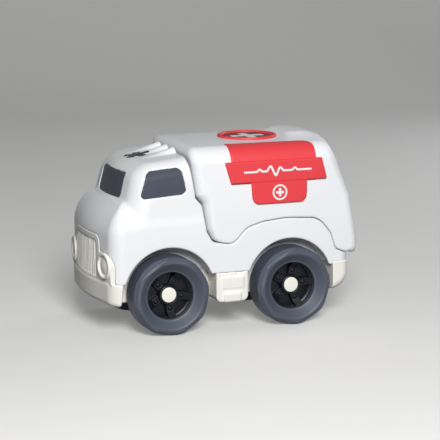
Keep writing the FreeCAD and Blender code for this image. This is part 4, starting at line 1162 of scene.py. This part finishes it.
def rim_surface(turn):
    """Rim as a height over the radius and the angle: a deep floor, level spoke roots that rise outward to
    the barrel, a domed bolt head on each root, and a hub with a fine groove round the cap."""
    reach = np.concatenate([np.linspace(*ring) for ring in rim_rings])
    angles = full_turn(rim_steps)
    pitch = 2 * math.pi / spoke_count
    swing = (angles - turn + pitch / 2) % pitch - pitch / 2
    radius = reach[None, :]
    across = radius * np.sin(swing)[:, None]
    along = radius * np.cos(swing)[:, None]
    width = spoke_half_width - spoke_narrowing * ease(radius, *spoke_narrow_reach)
    spoke = 1 - ease(np.abs(across), width + spoke_flank[0], width + spoke_flank[1])
    rise = np.clip((along - spoke_rise_from) / spoke_rise_run, 0, spoke_rise_limit)
    root = spoke_root_out + spoke_rise * rise
    height = rim_floor_out + (root - rim_floor_out) * spoke
    bolt = np.hypot(along - bolt_reach, across)
    head = np.sqrt(np.maximum(bolt_radius ** 2 - bolt ** 2, 0)) * bolt_roundness
    height = np.maximum(height, np.where(bolt < bolt_radius, root + head, rim_floor_out))
    hub = 1 - ease(radius, hub_radius - hub_edge, hub_radius + hub_edge)
    height = height * (1 - hub) + hub_out * hub
    height = height - groove_depth * np.exp(-((radius - groove_radius) / groove_width) ** 2)
    front = np.stack([np.broadcast_to(radius, height.shape), height], -1)
    back = np.array([
        (0.0170, 0.0012), (0.0170, -0.0010), (0.0182, -0.0010), (0.0182, -0.0064), (0.0167, -0.0064),
        (0.0167, -0.0058), (hub_radius, -0.0058), (hub_radius, -0.0122), (0.0, -0.0122),
    ])
    back = np.broadcast_to(back, (len(angles),) + back.shape)
    return swept(np.concatenate([front, back], 1), angles)


def cap_surface():
    """Hub cap turned about the axle: a disc crowned by a parabola, with a quarter circle at its edge."""
    turn = np.linspace(0, math.pi / 2, cap_edge_steps)
    flat_radius, edge_out = cap_radius - cap_edge_radius, cap_face - cap_edge_radius
    edge = [flat_radius, edge_out] + cap_edge_radius * np.stack([np.sin(turn), np.cos(turn)], 1)
    middle = np.linspace(0, flat_radius, cap_rings)[:-1]
    face = np.stack([middle, cap_face + cap_crown * (1 - (middle / cap_radius) ** 2)], 1)
    foot = np.array([(cap_radius, cap_foot_out), (0.0, cap_foot_out)])
    return swept(np.concatenate([face, edge, foot]), full_turn(cap_steps))


def make_wheels():
    """Four wheels, each a tyre, a rim and a hub cap, the right ones the left ones' mirror image."""
    axles = (
        ("front", -half_wheelbase, front_spoke_turn, front_scoop_turn),
        ("rear", half_wheelbase, rear_spoke_turn, rear_scoop_turn),
    )
    for axle, y, spoke_turn, scoop_turn in axles:
        kinds = (
            ("tyre", tyre_surface(scoop_turn), tyre_slate, "tyre_plastic"),
            ("rim", rim_surface(spoke_turn), rim_black, "rim_plastic"),
            ("hub_cap", cap_surface(), cream_smooth, "cream_plastic"),
        )
        body = axle + "_wheels"
        for kind, surface, material, slot in kinds:
            place, faces = welded(*surface)
            place = place + np.array([tyre_face_x - tyre_half_width, y, axle_z])
            for side, mirror in (("left", 1), ("right", mirror_x)):
                node = "_".join((axle, side, kind))
                make_piece(node + "_visual", place * mirror, faces, material, body, [node])


def make_dish():
    """Red roof dish: a low floor inside a round rim, turned about its own upright axis."""
    inner = dish_radius - dish_rim_width
    corners = [
        (0.0, dish_floor_z), (inner, dish_floor_z), (inner, dish_top_z), (dish_radius, dish_top_z),
        (dish_radius, dish_seat_z), (0.0, dish_seat_z),
    ]
    radii = [0, dish_floor_radius, dish_rim_radius, dish_rim_radius, 0, 0]
    place, faces = swept(round_profile(corners, radii, dish_spacing), full_turn(dish_steps))
    place = place[:, [1, 2, 0]] + np.array([0, dish_y, 0])
    place, faces = welded(place, faces)
    make_piece("roof_dish_visual", place, faces, red, "body", ["roof_dish"])


def dress_nodes():
    """Materials of the nodes that keep their own form."""
    finishes = (
        ("windscreen", window_dark, "window_plastic"),
        ("front_axle", steel, "axle_steel"),
        ("rear_axle", steel, "axle_steel"),
        ("chassis_screws", steel, "screw_steel"),
        ("deck_screws", steel, "screw_steel"),
    )
    for name, material, slot in finishes:
        node = frame["nodes"][name]
        if not node.material_slots:
            node.data.materials.append(material)
        for held in node.material_slots:
            held.material = material


def flat_plate(outline, rings):
    """Flat plate inside an outline that is seen whole from its middle: rings of the same outline, shrunk
    evenly toward the middle."""
    middle = outline.mean(0)
    share = np.linspace(1, 0, rings + 1)[:-1]
    place = middle + share[:, None, None] * (outline - middle)[None]
    count = len(outline)
    index = np.arange(rings * count).reshape(rings, count)
    ahead = np.roll(index, -1, axis=1)
    faces = np.stack([index[:-1], ahead[:-1], ahead[1:], index[1:]], -1).reshape(-1, 4).tolist()
    last = rings * count
    faces += [[a, b, last] for a, b in zip(index[-1].tolist(), ahead[-1].tolist())]
    return np.concatenate([place.reshape(-1, 2), middle[None]]), faces


def band(path, half_width, closed):
    """Flat band of even width: each place of the path carries a short line square to it."""
    if closed:
        along = np.roll(path, -1, axis=0) - np.roll(path, 1, axis=0)
    else:
        along = np.gradient(path, axis=0)
    along /= np.linalg.norm(along, axis=1)[:, None]
    side = np.stack([along[:, 1], -along[:, 0]], 1)
    steps = np.linspace(-half_width, half_width, band_columns)
    place = path[:, None, :] + steps[None, :, None] * side[:, None, :]
    index = np.arange(len(path) * band_columns).reshape(len(path), band_columns)
    ahead = np.roll(index, -1, axis=0)
    if not closed:
        index, ahead = index[:-1], ahead[:-1]
    faces = np.stack([index[:, :-1], ahead[:, :-1], ahead[:, 1:], index[:, 1:]], -1).reshape(-1, 4)
    return place.reshape(-1, 2), faces.tolist()


def arms_outline(arms, reach, half_width, radius):
    """Outline of equal arms round a middle, with round ends: two corners at the end of each arm and one
    where its side meets the next arm's."""
    inner = half_width / math.sin(math.pi / arms)
    corners = []
    for k in range(arms):
        turn = 2 * math.pi * k / arms
        ahead = np.array([math.sin(turn), math.cos(turn)])
        side = np.array([math.cos(turn), -math.sin(turn)])
        corners.append(ahead * reach - side * half_width)
        corners.append(ahead * reach + side * half_width)
        half = turn + math.pi / arms
        corners.append(np.array([math.sin(half), math.cos(half)]) * inner)
    radii = [radius, radius, print_inner_radius] * arms
    return round_profile([tuple(c) for c in corners], radii, print_spacing)[:-1]


def make_print_or_painted_shade(name, flat, onto, outward_axis, material):
    """Printed motif, or the dish's disc of painted shade: a flat form laid onto the toy's surface, a hair
    proud of it and a little deep.
    """
    place, faces = flat
    place = onto(place)
    mesh = bpy.data.meshes.new(name)
    mesh.from_pydata((place + np.array([0, middle_y, 0])).tolist(), [], faces)
    mesh.validate()
    facing = sum(face.normal[outward_axis] * face.area for face in mesh.polygons)
    side = np.sign(place[:, outward_axis].mean())
    if facing * side < 0:
        mesh.flip_normals()
    mesh.shade_smooth()
    mesh.materials.append(material)
    piece = placed(name, mesh)
    depth = piece.modifiers.new("depth", "SOLIDIFY")
    depth.thickness = print_depth
    depth.offset = -1
    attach(piece, "body")


def onto_side(thickness, side):
    """Lays (along, up) places onto the rear body's skin at a thickness, by steps straight outward."""
    def lay(place):
        """Steps outward by what is left to the skin."""
        y, z = place[:, 0], place[:, 1]
        x = np.full(len(place), body_half_width)
        for _ in range(print_lay_steps):
            x = x - (rear_plain(x, y, z) - thickness - print_lift)
        return np.stack([x * side, y, z], 1)
    return lay


def onto_roof(place):
    """Lays (across, along) places onto the cab roof, by steps straight up."""
    x, y = place[:, 0], place[:, 1]
    z = np.full(len(place), cab_roof_front_z)
    for _ in range(print_lay_steps):
        z = z - (cab_skin(x, y, z) - print_lift)
    return np.stack([x, y, z], 1)


def onto_dish(lift):
    """Lays (across, along) places onto the floor of the roof dish, a lift above a print's own height."""
    def lay(place):
        """The places at one height."""
        height = np.full(len(place), dish_floor_z + print_lift + lift)
        return np.stack([place[:, 0], place[:, 1] + dish_y, height], 1)
    return lay


def make_prints_and_dish_shade():
    """Plain motifs: a beating line on each banner, a plus in a ring on each tab, a plus on a dark red disc
    of painted shade in the dish, where its floor lies in shadow, and a star on the cab roof."""
    corners = [(u, banner_line_z + v) for u, v in banner_line]
    line = rounded_outline(corners, [0] + [banner_line_bend] * (len(corners) - 2) + [0])
    line = with_more_places(line, print_spacing)
    turn = full_turn(ring_steps)
    ring = tab_middle + tab_ring_radius * np.stack([np.cos(turn), np.sin(turn)], 1)
    plus = arms_outline(**tab_plus) + tab_middle
    for side, word in ((1, "left"), (-1, "right")):
        on_banner, on_tab = onto_side(banner_thickness, side), onto_side(tab_thickness, side)
        line_band = band(line, banner_line_half_width, False)
        make_print_or_painted_shade("banner_line_" + word, line_band, on_banner, 0, print_white)
        make_print_or_painted_shade("tab_ring_" + word, band(ring, tab_ring_half_width, True), on_tab, 0, print_white)
        make_print_or_painted_shade("tab_plus_" + word, flat_plate(plus, rings=5), on_tab, 0, print_white)
    # Dark red disc of painted shade on the dish's floor, under the white plus
    turn = full_turn(dish_shade_steps)
    field = dish_shade_radius * np.stack([np.sin(turn), np.cos(turn)], 1)
    make_print_or_painted_shade("dish_painted_shade", flat_plate(field, rings=4), onto_dish(0), 2, painted_shade_dark_red)
    plus = arms_outline(**dish_plus)
    make_print_or_painted_shade("dish_plus", flat_plate(plus, rings=6), onto_dish(print_lift), 2, print_white)
    star = arms_outline(**roof_star) + (0, roof_star_y)
    make_print_or_painted_shade("roof_star", flat_plate(star, rings=8), onto_roof, 2, print_black)


def make_camera():
    """Camera at the photograph's place, angle and reach: it looks across and down by its angles, and its
    right and up directions are turned by the roll."""
    level = math.cos(camera_down)
    ahead = np.array([
        -math.cos(camera_across) * level, math.sin(camera_across) * level, -math.sin(camera_down),
    ])
    right = np.array([math.sin(camera_across), math.cos(camera_across), 0])
    up = np.cross(right, ahead)
    right_turned = math.cos(camera_roll) * right + math.sin(camera_roll) * up
    up_turned = math.cos(camera_roll) * up - math.sin(camera_roll) * right
    data = bpy.data.cameras.new("camera")
    data.sensor_width = camera_sensor
    data.lens = camera_lens
    camera = placed("camera", data)
    turn = Matrix([right_turned, up_turned, -ahead]).transposed().to_4x4()
    camera.matrix_world = Matrix.Translation(camera_place) @ turn
    bpy.context.scene.camera = camera


def background_rays(nodes, links):
    """1 for the rays that show a background: from the camera, off gloss, and through clear things."""
    path = nodes.new("ShaderNodeLightPath")
    share = path.outputs["Is Camera Ray"]
    for kind in ("Is Glossy Ray", "Is Transmission Ray"):
        either = nodes.new("ShaderNodeMath")
        either.operation = "MAXIMUM"
        links.new(share, either.inputs[0])
        links.new(path.outputs[kind], either.inputs[1])
        share = either.outputs["Value"]
    return share


def mix_for_background(nodes, links, for_light, for_background, output):
    """Shows one shader to the rays that show a background, and the other to those that light the toy."""
    mix = nodes.new("ShaderNodeMixShader")
    links.new(background_rays(nodes, links), mix.inputs[0])
    links.new(for_light, mix.inputs[1])
    links.new(for_background, mix.inputs[2])
    links.new(mix.outputs["Shader"], nodes[output].inputs["Surface"])


def dim_for_the_toy(material):
    """Lets the floor look pale and throw back only little light onto the toy."""
    nodes, links = material.node_tree.nodes, material.node_tree.links
    shader = nodes["Principled BSDF"]
    dark = nodes.new("ShaderNodeBsdfDiffuse")
    dark.inputs["Color"].default_value = (*paper_dark, 1)
    shader.inputs["Emission Color"].default_value = (*paper_pale, 1)
    shader.inputs["Emission Strength"].default_value = paper_glow
    mix_for_background(nodes, links, dark.outputs["BSDF"], shader.outputs["BSDF"], "Material Output")


def make_stage():
    """Pale floor that curves up into a backdrop: a level line, a quarter circle and an upright line,
    carried sideways across the camera's view."""
    along = np.linspace(-floor_reach, floor_reach, floor_columns)
    turn = np.linspace(0, math.pi / 2, bend_steps)[1:]
    level = np.linspace(-floor_reach, floor_back, floor_rows)
    distance = np.concatenate([level, floor_back + floor_bend * np.sin(turn), [floor_back + floor_bend]])
    height = np.concatenate([0 * level, floor_bend * (1 - np.cos(turn)), [backdrop_height]])
    ahead = np.array([-math.cos(camera_across), math.sin(camera_across)])
    side = np.array([-ahead[1], ahead[0]])
    ground = distance[:, None, None] * ahead + along[None, :, None] * side
    raised = np.broadcast_to(height[:, None, None], ground.shape[:2] + (1,))
    place = np.concatenate([ground, raised], -1).reshape(-1, 3)
    index = np.arange(len(distance) * len(along)).reshape(len(distance), len(along))
    faces = np.stack([index[:-1, :-1], index[1:, :-1], index[1:, 1:], index[:-1, 1:]], -1).reshape(-1, 4)
    mesh = bpy.data.meshes.new("floor")
    mesh.from_pydata(place.tolist(), [], faces.tolist())
    mesh.shade_smooth()
    floor = placed("floor", mesh)
    paper = moulded("floor_paper", paper_pale, 0.8, grain_depth=0.00001, tint=0.01, specular=0.2)
    dim_for_the_toy(paper)
    mesh.materials.append(paper)


def make_light(name, azimuth, height, distance, size, power, colour):
    """Square soft light that faces the toy. The azimuth counts from straight ahead to the left, and both
    angles are in degrees."""
    turn, rise = math.radians(azimuth), math.radians(height)
    toward = np.array([math.sin(turn) * math.cos(rise), -math.cos(turn) * math.cos(rise), math.sin(rise)])
    data = bpy.data.lights.new(name, "AREA")
    data.size = size
    data.energy = power
    data.color = colour
    light = placed(name, data)
    side = np.cross([0, 0, 1], toward)
    side /= np.linalg.norm(side)
    turned = Matrix([side, np.cross(toward, side), toward]).transposed().to_4x4()
    place = toward * distance + np.array([0, 0, light_aim_z])
    light.matrix_world = Matrix.Translation(place.tolist()) @ turned


def make_room():
    """Dim bluish room light, and a pale grey that the background and gloss show."""
    world = bpy.data.worlds.new("room")
    world.use_nodes = True
    nodes, links = world.node_tree.nodes, world.node_tree.links
    ambient = nodes["Background"]
    ambient.inputs["Color"].default_value = (*room_bluish, 1)
    ambient.inputs["Strength"].default_value = room_strength
    pale = nodes.new("ShaderNodeBackground")
    pale.inputs["Color"].default_value = (*backdrop_grey, 1)
    shaders = ambient.outputs["Background"], pale.outputs["Background"]
    mix_for_background(nodes, links, *shaders, "World Output")
    return world


def make_lights():
    """Soft key beside and above the camera, weak lights from the front and from behind, and a dim room."""
    cool = (0.97, 0.98, 1.0)
    make_light("key", azimuth=76, height=28, distance=1.5, size=0.5, power=25.6, colour=(1.0, 0.995, 0.985))
    make_light("front", azimuth=25, height=20, distance=1.5, size=0.8, power=0.9, colour=cool)
    make_light("back", azimuth=203, height=20, distance=1.2, size=0.6, power=2.6, colour=cool)
    bpy.context.scene.world = make_room()
    bpy.context.scene.view_settings.view_transform = "Standard"


make_cab_shell()
make_rear_body()
make_chassis()
make_side_pieces()
make_wheels()
make_dish()
make_prints_and_dish_shade()
dress_nodes()
make_stage()
make_lights()
make_camera()
